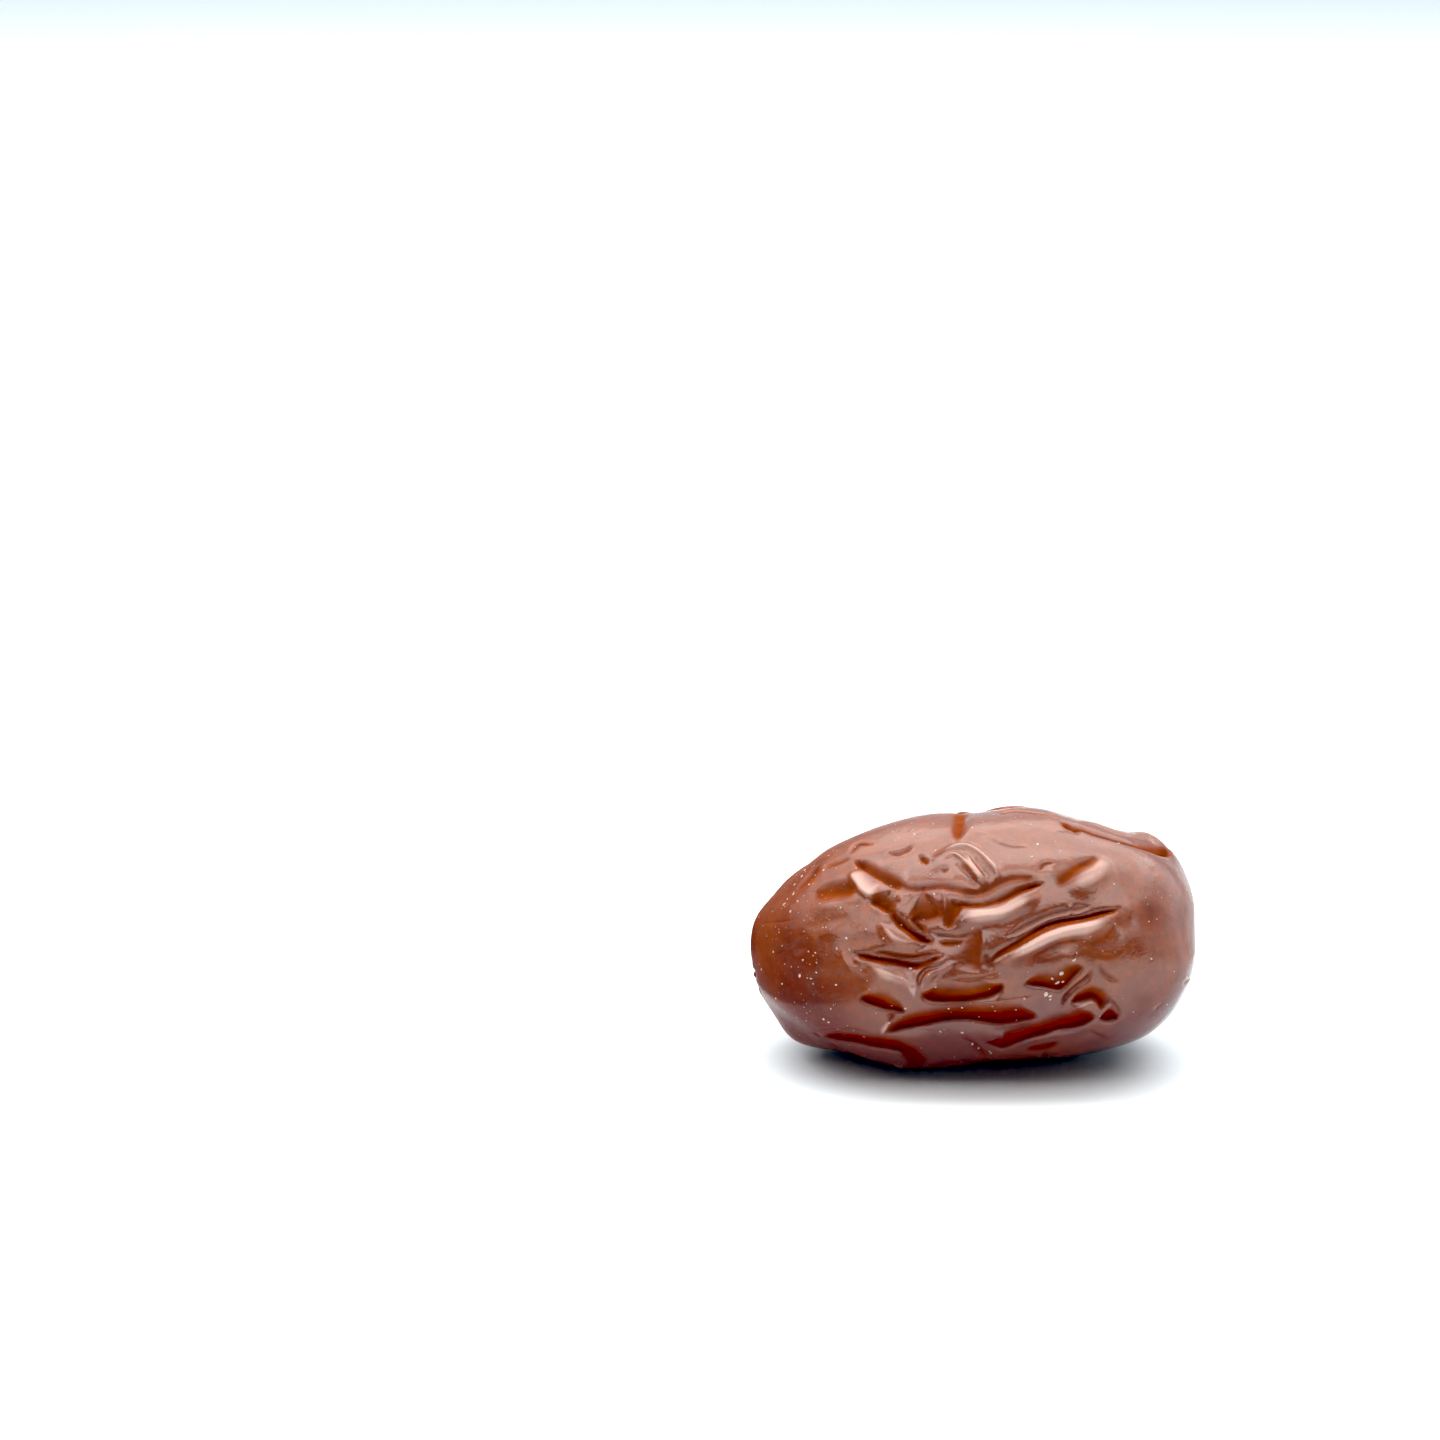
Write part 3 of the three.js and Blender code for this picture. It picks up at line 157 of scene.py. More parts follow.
    ("split", 0.85, (0.5, 0.9, 0.8, 0.7, 0.7, 0.9, 1.3, 1.6, 1.5, 0.7), 0.24, 1.3, 0.1, 1, [
      (8.6, 11.5), (9.1, 11), (9.7, 10.7), (10.7, 10.7), (11.8, 10.3), (13.3, 9.9), (14.7, 9.5),
      (16.2, 9.1), (17.6, 8.7), (19.4, 8.3)]),
    ("split lip", -0.3, 1.1, 0.35, 1.8, 0.3, 0, [(10.4, 11.8), (12.3, 11.4), (14.3, 10.7),
      (16.2, 10.3), (17.9, 9.8), (19.1, 9.2)]),
    ("split start", 0.32, 0.45, 0.3, 1.4, 0.3, 0.6, [(2.8, 12), (3.3, 12.3), (4.6, 12.3), (6.1, 12.1),
      (7.5, 12), (8.6, 11.7)]),
    ("left dip 1", 0.45, (0.6, 0.95, 0.9, 0.6), 0.9, 2.4, 0.3, 0.9, [(-15.4, 4.3), (-14.2, 4.5),
      (-12.8, 4.7), (-11, 4.9)]),
    ("left dip 2", 0.34, 0.6, 0.65, 2.2, 0.4, 0.85, [(-17.1, 4.7), (-16.1, 5.7), (-14.7, 7)]),
    ("left dip 3", 0.18, 0.35, 0.35, 2, 0.4, 0.7, [(-14.2, 6.9), (-13, 7.2), (-11.6, 7.7)]),
    ("left crease", 0.3, 0.25, 0.22, 1.4, 0.4, 0.7, [(-11.8, 7.9), (-11.4, 8.4), (-10.9, 8.9),
      (-10.1, 8.9), (-9.5, 8.9)]),
    ("left dip 4", 0.15, 0.7, 0.8, 2, 0.5, 0.4, [(-16.1, 1.1), (-14.2, 1.6), (-11.8, 2.3)]),
    ("left lobe 1", -0.25, 1, 1, 2, 0.5, 0, [(-15.7, 2.9), (-13.3, 3.2), (-10.7, 3.5)]),
    ("left lobe 2", -0.2, 0.8, 0.8, 2, 0.5, 0, [(-14.9, 0.2), (-13.6, 0.7), (-12, 1.1)]),
    ("left trough 2", 0.15, 0.8, 1, 2, 0.5, 0.35, [(-13, -0.8), (-10.9, -0.1), (-7.8, 0.3)]),
    ("left wedge", 0.25, 0.8, 0.5, 1.6, 0.5, 0.35, [(-17.4, -1.6), (-16.5, -0.8), (-15.5, 0)]),
    ("scratch 1", 0.1, 0.15, 0.15, 1.2, 0.3, 0, [(-19.4, -1.9), (-18.4, -1.3), (-17.3, -0.6),
      (-15.9, 0.3)]),
    ("scratch 2", 0.08, 0.15, 0.15, 1.2, 0.3, 0, [(-20.5, 1.5), (-19.1, 1.5), (-17.6, 1.6), (-16.7, 1.9)]),
    ("lower left parallel", 0.28, (0.12, 0.28, 0.3, 0.28, 0.12), 0.18, 1.3, 0.25, 0.85, [(-9.7, -1.3),
      (-8.6, -1.4), (-7.2, -1.7), (-5.8, -1.8), (-4.6, -1.6), (-3.4, -1.3)]),
    ("lower left crease", 0.5, (0.15, 0.2, 0.22, 0.28, 0.42, 0.5, 0.42, 0.3, 0.15), 0.2, 1.3, 0.15, 0.9, [
      (-11.5, -1.4), (-10.5, -1.8), (-9.1, -2.1), (-7.8, -2.3), (-6.7, -2.6), (-5.7, -2.8),
      (-4.7, -2.6), (-3.7, -2.1), (-2.8, -1.7)]),
    ("white lip 1", -0.3, 0.35, 0.4, 1.6, 0.4, 0, [(-11.6, -1.9), (-10.9, -2.2), (-10.1, -2.4)]),
    ("white lip 2", -0.55, 0.6, 0.7, 1.8, 0.5, 0, [(-11.1, -2), (-9.7, -2.6), (-8.4, -3.2),
      (-7.2, -3.8), (-6.2, -4.5)]),
    ("left loop", -0.22, 0.22, 0.22, 1.4, 0.4, 0, [(-12.5, -1.2), (-12.4, -1.9), (-11.9, -2.6),
      (-11.2, -2.8), (-10.6, -2.6)]),
    ("brown crease", 0.28, (0.6, 1.6, 2, 1.9, 1.2, 0.4), 1.3, 1.9, 0.35, 0.6, [(-15.9, -4.3),
      (-14.5, -4.5), (-13.2, -4.7), (-12, -4.6), (-11.1, -4.2), (-10.1, -3.4)]),
    ("leaf valley roll", -0.25, 1.6, 0.9, 2, 0.4, 0, [(-10.7, -5.1), (-9.4, -5), (-8.2, -5.3),
      (-7.3, -6.1), (-6.5, -6.8)]),
    ("leaf valley", 0.6, (0.4, 1.1, 1.5, 1.6, 1.1, 0.3), 0.22, 1.5, 0.2, 0.95, [(-11, -5.6),
      (-10.1, -6.1), (-9.3, -6.4), (-8.4, -6.7), (-7.4, -6.9), (-6.4, -7.1)]),
    ("crossing ridge 1", -0.3, 0.28, 0.28, 1.5, 0.35, 0, [(-2.7, -1.9), (-3.6, -2.3), (-4.6, -2.7),
      (-5.3, -3.3), (-5.5, -4.2), (-5.6, -5), (-5.7, -6)]),
    ("crossing valley", 0.35, 0.25, 0.25, 1.4, 0.4, 0.4, [(-2.4, -2.4), (-3.4, -2.8), (-4.5, -3.1),
      (-5.1, -3.9), (-5.2, -4.8)]),
    ("crossing ridge 2", -0.28, 0.25, 0.25, 1.5, 0.35, 0, [(-1.7, -2.3), (-2.7, -2.8), (-3.9, -3.2),
      (-4.7, -3.8), (-4.9, -4.5), (-4.8, -5.3)]),
    ("crossing ridge 3", -0.28, 0.3, 0.3, 1.5, 0.4, 0, [(-7.4, -3.3), (-6.5, -3.9), (-6, -4.6),
      (-5.7, -5.5)]),
    ("small triangle", 0.4, 0.45, 0.35, 1.6, 0.5, 0.7, [(-8.4, -7.4), (-7.8, -7.5), (-8.1, -8)]),
    ("triangle ridge", -0.22, 0.25, 0.25, 1.4, 0.4, 0, [(-7.2, -7.2), (-7.9, -7.9), (-8.5, -8.7),
      (-8.8, -9.4)]),
    ("long valley 1 roll", -0.3, 2, 1.15, 2, 0.35, 0, [(-8.4, -9.1), (-7.7, -8.2), (-6.7, -7.4),
      (-5.3, -7), (-3.6, -6.9), (-1.7, -6.6), (0.2, -6.5), (2.7, -6.3), (4.6, -6.4), (6.2, -6.9)]),
    ("long valley 1", 0.62, (0.1, 0.8, 1.6, 1.8, 1.6, 1.6, 1.7, 2, 2.2, 2, 1.6, 0.5), 0.22, 1.5, 0.12, 1, [
      (-8.6, -9.3), (-7.3, -8.9), (-6, -8.7), (-4.6, -8.4), (-3.1, -8), (-1.7, -7.8), (-0.2, -7.8),
      (1.2, -8), (2.7, -8.1), (4.1, -7.9), (5.4, -7.6), (6.5, -7.2)]),
    ("low left valley roll", -0.3, 1.6, 0.9, 2, 0.35, 0, [(-14, -9.3), (-12.3, -9), (-10.4, -9.2),
      (-8.5, -9.5), (-7, -9.8), (-6, -10.6), (-5.1, -11.9)]),
    ("low left valley", 0.6, (0.2, 1.1, 1.5, 1.6, 1.6, 1.6, 1.3, 0.3), 0.22, 1.5, 0.1, 1, [
      (-14.5, -9.8), (-12.6, -10), (-11.4, -10.2), (-9.9, -10.6), (-8.5, -10.8), (-7, -11.1),
      (-6.1, -11.7), (-5.4, -12.4)]),
    ("tiny left", 0.25, 0.25, 0.2, 1.5, 0.5, 0.6, [(-15.6, -9.4), (-15.3, -9.7), (-14.8, -10)]),
    ("faint line 1", 0.12, 0.2, 0.25, 1.5, 0.4, 0, [(-7, -9.2), (-5.8, -9.1), (-4.9, -8.9), (-4.1, -9.2)]),
    ("mid valley roll", -0.3, 1.3, 1.1, 2, 0.35, 0, [(-4.9, -5), (-4.4, -4.5), (-3.5, -4.3),
      (-2.4, -4.5), (-1, -4.6), (0.3, -4.5), (1.5, -4.3), (2.8, -3.9)]),
    ("mid valley", 0.64, (0.2, 1.5, 1.6, 1.6, 1.5, 1.4, 1.5, 1.4, 0.3), 0.22, 1.5, 0.12, 0.95, [
      (-5.1, -5.2), (-4.3, -5.8), (-3.1, -6), (-1.7, -6), (-0.2, -5.9), (0.7, -5.7), (1.7, -5.5),
      (2.5, -5.1), (3.1, -4.3)]),
    ("mid crease", 0.12, 0.25, 0.22, 1.4, 0.35, 0.5, [(-2, -3.9), (-0.2, -3.9), (1.2, -3.7),
      (2.2, -3.4), (2.8, -3.2)]),
    ("crest line", -0.12, 0.2, 0.2, 1.5, 0.4, 0, [(-1.4, -6.2), (1.2, -6.1), (3.6, -5.9), (5.6, -5.6),
      (7.1, -5.1)]),
    ("dusty valley roll", -0.25, 1.6, 1.1, 2, 0.4, 0, [(5, -4.3), (5.7, -3.6), (7, -3.2), (8.1, -3.4),
      (8.8, -2.7), (9.7, -1.8), (10.5, -1.7)]),
    ("dusty valley", 0.55, (0.2, 1, 1.35, 1.4, 1.65, 1.5, 1.2, 0.5), 0.22, 1.5, 0.2, 0.9, [(4.8, -4.3),
      (5.7, -4.4), (6.7, -4.5), (7.7, -4.7), (8.5, -4.8), (9.1, -4.3), (9.9, -3.4), (10.8, -2.5)]),
    ("arch left", 0.35, 0.28, 0.25, 1.4, 0.3, 0.6, [(8.5, -6.7), (8.8, -5.9), (9.4, -5.2),
      (10.1, -4.6), (10.8, -4.1), (11.3, -3.5), (11.5, -2.7)]),
    ("arch roll", -0.2, 0.7, 0.8, 2, 0.4, 0, [(9.6, -6), (10.4, -5.3), (11.2, -4.7), (11.9, -4.8),
      (12.5, -5.6), (12.8, -6.8)]),
    ("arch", 0.6, (0.1, 0.7, 1.15, 1.15, 1, 0.4), 0.22, 1.5, 0.2, 0.95, [(9.4, -6.2), (10.4, -5.9),
      (11.2, -5.7), (11.7, -5.7), (12.2, -6.1), (12.5, -6.9)]),
    ("arch curl", -0.22, 0.2, 0.2, 1.5, 0.35, 0, [(9, -7), (10.1, -6.5), (11.2, -6.1), (11.8, -6.1),
      (12.2, -6.6), (12.3, -7.2), (12.1, -7.9)]),
    ("long valley 2 roll", -0.3, 1.6, 0.95, 2, 0.35, 0, [(1.3, -9.7), (2.2, -9.4), (3.1, -9),
      (4.1, -8.6), (5.6, -8.1), (7, -7.7), (8.5, -7.3), (9.9, -7), (11.4, -6.5), (12.1, -6.9)]),
    ("long valley 2", 0.58, (0.1, 1.2, 2.1, 2.4, 2.3, 2.1, 2, 2, 2.2, 2.3, 1.7), 0.22, 1.5, 0.1, 1, [
      (1.2, -10), (2, -10.3), (2.8, -10.6), (3.5, -10.4), (4.4, -10), (5.6, -9.5), (7, -9.1),
      (8.5, -8.6), (9.6, -8.5), (10.9, -8.1), (12, -7.4)]),
    ("thin parallel", 0.22, 0.22, 0.2, 1.4, 0.3, 0.4, [(1.7, -8.5), (2.7, -8.6), (3.8, -8.5),
      (4.9, -8.2), (6.1, -7.9)]),
    ("small hollow", 0.7, (0.9, 1.5, 0.4), 0.22, 1.5, 0.3, 0.95, [(12.2, -7.7), (13.2, -7.9),
      (14.3, -7.7)]),
    ("right fold 1", 0.3, 0.35, 0.3, 1.5, 0.4, 0.4, [(12, -2.2), (12.6, -3.1), (13.4, -3.8),
      (14.3, -4.2)]),
    ("right fold 2", 0.28, 0.25, 0.25, 1.5, 0.4, 0.4, [(13, -5.5), (13.6, -6.3), (14.1, -7),
      (14.4, -7.8)]),
    ("right soft dip", 0.15, 0.9, 0.9, 2, 0.5, 0.2, [(15.2, -6.2), (16.2, -6.4), (17.2, -6.7)]),
    ("low line 1", 0.2, 0.25, 0.22, 1.5, 0.4, 0.4, [(10.9, -8.8), (11.5, -9.1), (12.3, -9.7),
      (13.2, -10)]),
    ("low hollow", 0.4, (0.6, 1.2, 1.2, 0.4), 0.22, 1.4, 0.25, 0.9, [(5.2, -10.6), (6.3, -10.9),
      (7.4, -10.7), (8.3, -10)]),
    ("faint line 2", 0.16, 0.25, 0.25, 1.6, 0.4, 0, [(5.6, -9.4), (6.5, -9.2), (8, -9), (9.4, -8.9),
      (10.9, -8.7)]),
    ("low diagonal", 0.22, 0.28, 0.25, 1.5, 0.4, 0.5, [(-1.2, -9.4), (-0.6, -9.8), (0, -10.2),
      (0.7, -10.8), (1.4, -11.6)]),
    ("low notch", 0.22, 0.3, 0.3, 1.6, 0.5, 0.3, [(6.8, -10.8), (7.2, -11.4), (7.5, -12)]),
    ("tip facet", -0.25, 0.6, 0.6, 2, 0.5, 0, [(-7.7, -11.8), (-6.7, -12.6)]),
    ("low left ridge", 0.2, 0.3, 0.25, 1.5, 0.4, 0, [(-15.5, -9.1), (-14, -8.9), (-11.8, -8.9),
      (-10.1, -9.2)]),
    ("end crease", 0.15, 0.2, 0.18, 1.4, 0.4, 0.5, [(20.1, -4.2), (20.6, -4.1), (21, -3.9)]),
    ("end scratch", 0.08, 0.15, 0.15, 1.3, 0.4, 0, [(17.5, -7), (17.9, -6.5), (18.4, -6.1)]),
    ("fleck 1", 0.08, 0.15, 0.15, 1.3, 0.4, 0, [(15.2, 2.2), (15.7, 1.4)]),
    ("fleck 2", 0.08, 0.15, 0.15, 1.3, 0.4, 0, [(17.3, 6.9), (17.7, 6.1)]),
]

# Folds drawn at random on the side that the front folds leave bare. They run side by side along one slow flow
HIDDEN_SEED = 5
HIDDEN_FOLDS = 64
HIDDEN_FROM = math.radians(112)
HIDDEN_TO = math.radians(280)
HIDDEN_X = (-19, 18)
HIDDEN_SPREAD = (0.7548777, 0.5698403)
HIDDEN_STEP = 2.0
HIDDEN_ENDS = 0.35
FLOW_DRIFT = 0.11
FLOW_LENGTH = 5.5
FLOW_ROUND = 2.3
STRAY_DRIFT = 0.045
# Each kind: depth from and to, reach above from and to, reach below, power, shade, steps from and to
HIDDEN_KINDS = [
    (0.65, 0.95, 0.7, 1.3, 0.28, 1.5, 0.9, 3, 7),
    (0.4, 0.7, 0.3, 0.6, 0.4, 1.6, 0.6, 3, 8),
    (-0.45, -0.25, 0.5, 1.1, 0.4, 1.6, 0, 3, 8),
    (0.35, 0.6, 1.0, 1.8, 1.3, 2.2, 0.35, 1, 4),
]

# Creases that run in towards the ends
END_SEED = 9
END_FOLDS = 8
END_NEAR = (20.4, 21.3)
END_FAR = (14, 17.5)
END_TURN = 0.3
END_DEPTH = (0.15, 0.42)
END_REACH = (0.35, 0.9)

SWELL_SEED = 3
SWELL_COUNT = 14
SWELL_DEPTH = 0.16
SWELL_LENGTH = 15
SWELL_ROUND = 8

# Broad dents of the whole fruit (a bulge is negative): x, angle, depth and reach
DENTS = [
    (13.3, 107, 1.1, 5),
    (-12, -73, 1.2, 4.5),
    (-20, -60, 0.9, 4),
    (-9, 107, -0.5, 5),
    (5.5, 107, -0.3, 3),
    (19.3, 107, -0.4, 2.5),
    (2, -73, 0.35, 5),
    (14, -73, 0.3, 4),
    (-0.5, 107, 0.2, 2.6),
    (-16, 107, 0.25, 2),
    (12, 107, -0.25, 1.6),
    (16.8, 107, -0.3, 2.2),
    (21.6, 50, 0.4, 5),
    (18.5, -60, 0.3, 2.5),
    (-17.5, -68, -0.4, 2.2),
    (-21.8, 0, -0.35, 2.2),
]

# x, angle, hollow, reach, knob, reach of the knob, puckers
SCARS = [
    (-21.3, math.radians(-100), 0.35, 1.6, 0.4, 0.45, 7),
    (21.4, math.radians(160), 0.3, 1.4, 0.2, 0.4, 6),
]
PUCKER_DEPTH = 0.1
SPLINE_STEP = 0.25
FOLD_REACH = 2.6
SHARP_POWER = 1.6
GATHER = 0.7
GATHER_REACH = 0.45
SHADE_POWER = 4
SHADE_ABOVE = 1.05
SHADE_BELOW = 1.5
SMALL = 1e-9


def make_draw(seed):
    """A small repeatable source of random numbers."""
    state = seed

    def draw(low, high):
        nonlocal state
        state = (state * 1664525 + 1013904223) % 4294967296
        return low + (high - low) * state / 4294967296

    return draw


def end_power(x):
    return np.where(x < 0, STEM_END_POWER, TIP_END_POWER)


def radius_at(x):
    power = end_power(x)
    share = np.clip(np.abs(x) / HALF_LENGTH, 0, 1)
    return RADIUS * (1 - share**power) ** (1 / power)


def middle_at(x):
    start = math.tanh(-RISE_PLACE / RISE_REACH)
    return MIDDLE_RISE * (np.tanh((x - RISE_PLACE) / RISE_REACH) - start)


def ball_mesh(detail):
    """Points and triangles of a ball made of the twenty sides of an icosahedron."""
    golden = (1 + math.sqrt(5)) / 2
    corners = np.array([
        (-1, golden, 0), (1, golden, 0), (-1, -golden, 0), (1, -golden, 0),
        (0, -1, golden), (0, 1, golden), (0, -1, -golden), (0, 1, -golden),
        (golden, 0, -1), (golden, 0, 1), (-golden, 0, -1), (-golden, 0, 1),
    ])
    sides = [
        (0, 11, 5), (0, 5, 1), (0, 1, 7), (0, 7, 10), (0, 10, 11),
        (1, 5, 9), (5, 11, 4), (11, 10, 2), (10, 7, 6), (7, 1, 8),
        (3, 9, 4), (3, 4, 2), (3, 2, 6), (3, 6, 8), (3, 8, 9),
        (4, 9, 5), (2, 4, 11), (6, 2, 10), (8, 6, 7), (9, 8, 1),
    ]
    steps = [(i, j) for i in range(detail + 1) for j in range(detail + 1 - i)]
    place = {step: number for number, step in enumerate(steps)}
    local = []
    for i, j in steps:
        if i + j < detail:
            local.append((place[i, j], place[i + 1, j], place[i, j + 1]))
        if i + j < detail - 1:
            local.append((place[i + 1, j], place[i + 1, j + 1], place[i, j + 1]))
    local = np.array(local)
    weights = np.array([((detail - i - j), i, j) for i, j in steps]) / detail
    points = []
    faces = []
    for number, side in enumerate(sides):
        points.append(weights @ corners[list(side)])
        faces.append(local + number * len(steps))
    points = np.concatenate(points)
    points /= np.linalg.norm(points, axis=1, keepdims=True)
    _, first, back = np.unique(np.round(points, 6), axis=0, return_index=True, return_inverse=True)
    return points[first], back.reshape(-1)[np.concatenate(faces)]


def skin_points(directions):
    """Places on the unwrinkled skin and outward directions, spread evenly over it."""
    turn = np.linspace(0, math.pi, 1201)
    cosine, sine = np.cos(turn), np.sin(turn)
    power = np.where(cosine > 0, STEM_END_POWER, TIP_END_POWER)
    x = -HALF_LENGTH * np.sign(cosine) * np.abs(cosine) ** (2 / power)
    radius = RADIUS * np.abs(sine) ** (2 / power)
    run = np.hypot(np.diff(x), np.diff(radius))
    area = np.concatenate([[0], np.cumsum((radius[1:] + radius[:-1]) * run)])
    halfway = (area[1:] + area[:-1]) / 2
    wanted = (1 + directions[:, 0]) / 2 * area[-1]
    at_x = np.interp(wanted, area, x)
    at_radius = np.interp(wanted, area, radius)
    normal_x = np.interp(wanted, halfway, -np.diff(radius) / run)
    normal_r = np.interp(wanted, halfway, np.diff(x) / run)
    ring = np.maximum(np.hypot(directions[:, 1], directions[:, 2]), 1e-9)
    y, z = directions[:, 1] / ring, directions[:, 2] / ring
    places = np.stack([at_x, at_radius * y, middle_at(at_x) + at_radius * z], 1)
    normals = np.stack([normal_x, normal_r * y, normal_r * z], 1)
    return places, normals / np.linalg.norm(normals, axis=1, keepdims=True)


def skin_at(x, angle):
    """The skin at x and at an angle that starts at the front and goes up over the top."""
    x = np.asarray(x, float)
    radius = radius_at(x)
    return np.stack([x, -radius * np.cos(angle), middle_at(x) + radius * np.sin(angle)], -1)


eye_right = np.array([1.0, 0, 0])
eye_forward = np.array([0, math.cos(EYE_ELEVATION), -math.sin(EYE_ELEVATION)])
eye_up = np.array([0, math.sin(EYE_ELEVATION), math.cos(EYE_ELEVATION)])
eye = -EYE_DISTANCE * eye_forward - EYE_LEFT * eye_right + EYE_ABOVE * eye_up


def seen_points(flat):
    """The skin that the eye sees at places in its view, or the nearest skin where it just misses."""
    targets = flat[:, :1] * eye_right + flat[:, 1:] * eye_up
    ways = targets - eye
    far = np.linalg.norm(ways, axis=1, keepdims=True)
    ways = ways / far
    runs = np.arange(-1.5 * RADIUS, 1.5 * RADIUS, 0.05)
    points = eye + ways[:, None] * (far[:, None] + runs[None, :, None])
    x = np.clip(points[..., 0], -HALF_LENGTH, HALF_LENGTH)
    lift = points[..., 2] - middle_at(x)
    gap = np.hypot(points[..., 1], lift) - radius_at(x) + np.abs(points[..., 0] - x)
    hit = gap < 0
    index = np.where(hit.any(1), hit.argmax(1), gap.argmin(1))
    chosen = points[np.arange(len(points)), index]
    x = np.clip(chosen[:, 0], -HALF_LENGTH, HALF_LENGTH)
    return skin_at(x, np.arctan2(chosen[:, 2] - middle_at(x), -chosen[:, 1]))


def smooth_line(points, step):
    """A smooth line through a few points, as many close points."""
    points = np.array(points, float)
    if len(points) == 2:
        count = max(2, math.ceil(np.linalg.norm(points[1] - points[0]) / step))
        return points[0] + (points[1] - points[0]) * np.linspace(0, 1, count + 1)[:, None]
    whole = np.vstack([2 * points[0] - points[1], points, 2 * points[-1] - points[-2]])
    line = []
    for a, b, c, d in zip(whole[:-3], whole[1:-2], whole[2:-1], whole[3:]):
        count = max(2, math.ceil(np.linalg.norm(c - b) / step))
        for t in np.arange(count) / count:
            line.append(0.5 * (2 * b + (c - a) * t + (2 * a - 5 * b + 4 * c - d) * t**2 + (3 * b - a - 3 * c + d) * t**3))
    line.append(whole[-2])
    return np.array(line)


def hidden_folds():
    """Long folds of mixed kinds for the side that the eye doesn't see."""
    draw = make_draw(HIDDEN_SEED)
    first_x, last_x = HIDDEN_X
    folds = []
    for i in range(HIDDEN_FOLDS):
        kind = HIDDEN_KINDS[math.floor(draw(0, len(HIDDEN_KINDS)))]
        low, high, thin, wide, below, power, shade, short, long = kind
        steps = round(draw(short, long))
        spread_x, spread_angle = ((i * spread) % 1 for spread in HIDDEN_SPREAD)
        x = first_x + (last_x - first_x - steps * HIDDEN_STEP) * spread_x
        angle = HIDDEN_FROM + (HIDDEN_TO - HIDDEN_FROM) * spread_angle
        stray = draw(-STRAY_DRIFT, STRAY_DRIFT)
        points = []
        for _ in range(steps + 1):
            points.append((x, angle))
            angle += stray + FLOW_DRIFT * math.sin(x / FLOW_LENGTH + FLOW_ROUND * angle)
            angle = min(max(angle, HIDDEN_FROM), HIDDEN_TO)
            x += HIDDEN_STEP
        line = smooth_line(points[::-1], SPLINE_STEP)
        places = skin_at(line[:, 0], line[:, 1])
        folds.append((draw(low, high), draw(thin, wide), below, power, HIDDEN_ENDS, shade, places))
    return folds


def end_folds():
    """Short creases that run in towards both ends on the side that the eye doesn't see."""
    draw = make_draw(END_SEED)
    folds = []
    for end in (-1, 1):
        for i in range(END_FOLDS):
            angle = HIDDEN_FROM + (HIDDEN_TO - HIDDEN_FROM) * (i + draw(0.2, 0.8)) / END_FOLDS
            near, far = draw(*END_NEAR), draw(*END_FAR)
            turn = draw(-END_TURN, END_TURN)
            points = [(end * (near + (far - near) * part), angle + turn * part) for part in (0, 0.3, 0.6, 1)]
            line = smooth_line(points, SPLINE_STEP)
            places = skin_at(line[:, 0], line[:, 1])
            folds.append((draw(*END_DEPTH), draw(*END_REACH), 0.4, 1.7, 0.4, 0.45, places))
    return folds


def near_line(places, normals, line, reach):
    """Which places lie near a line on the skin, how far off, how far along it, and on which side."""
    centre = (line.min(0) + line.max(0)) / 2
    around = np.linalg.norm(line - centre, axis=1).max() + reach
    near = np.flatnonzero(np.linalg.norm(places - centre, axis=1) < around)
    near = near[np.argsort(places[near, 0])]
    spot, normal = places[near], normals[near]
    runs = np.linalg.norm(np.diff(line, axis=0), axis=1)
    before = np.concatenate([[0], np.cumsum(runs)])
    nearest = np.full(len(near), np.inf)
    along = np.zeros(len(near))
    offset = np.zeros((len(near), 3))
    side = np.zeros(len(near))
    for start, end, run, passed in zip(line[:-1], line[1:], runs, before):
        way = (end - start) / run
        first = np.searchsorted(spot[:, 0], min(start[0], end[0]) - reach)
        last = np.searchsorted(spot[:, 0], max(start[0], end[0]) + reach)
        rest = spot[first:last] - start
        part = np.clip(rest @ way, 0, run)
        rest = rest - part[:, None] * way
        distance = np.linalg.norm(rest, axis=1)
        closer = distance < nearest[first:last]
        chosen = first + np.flatnonzero(closer)
        nearest[chosen] = distance[closer]
        along[chosen] = (passed + part[closer]) / before[-1]
        offset[chosen] = rest[closer]
        across = np.cross(normal[chosen], way)
        side[chosen] = (rest[closer] * across).sum(1) / np.maximum(distance[closer], SMALL)
    keep = nearest < reach
    return near[keep], nearest[keep], along[keep], side[keep], offset[keep]


def gather(fold, places, normals):
    """Draws the places beside a sharp fold towards its line, so that the line stays clean."""
    _, _, _, power, ends, _, line = fold
    if power > SHARP_POWER:
        return
    near, distance, along, _, offset = near_line(places, normals, line, 2 * GATHER_REACH)
    fade = np.minimum(1, np.minimum(along, 1 - along) / ends)
    pull = GATHER * fade * np.exp(-((distance / GATHER_REACH) ** 2))
    places[near] -= offset * pull[:, None]


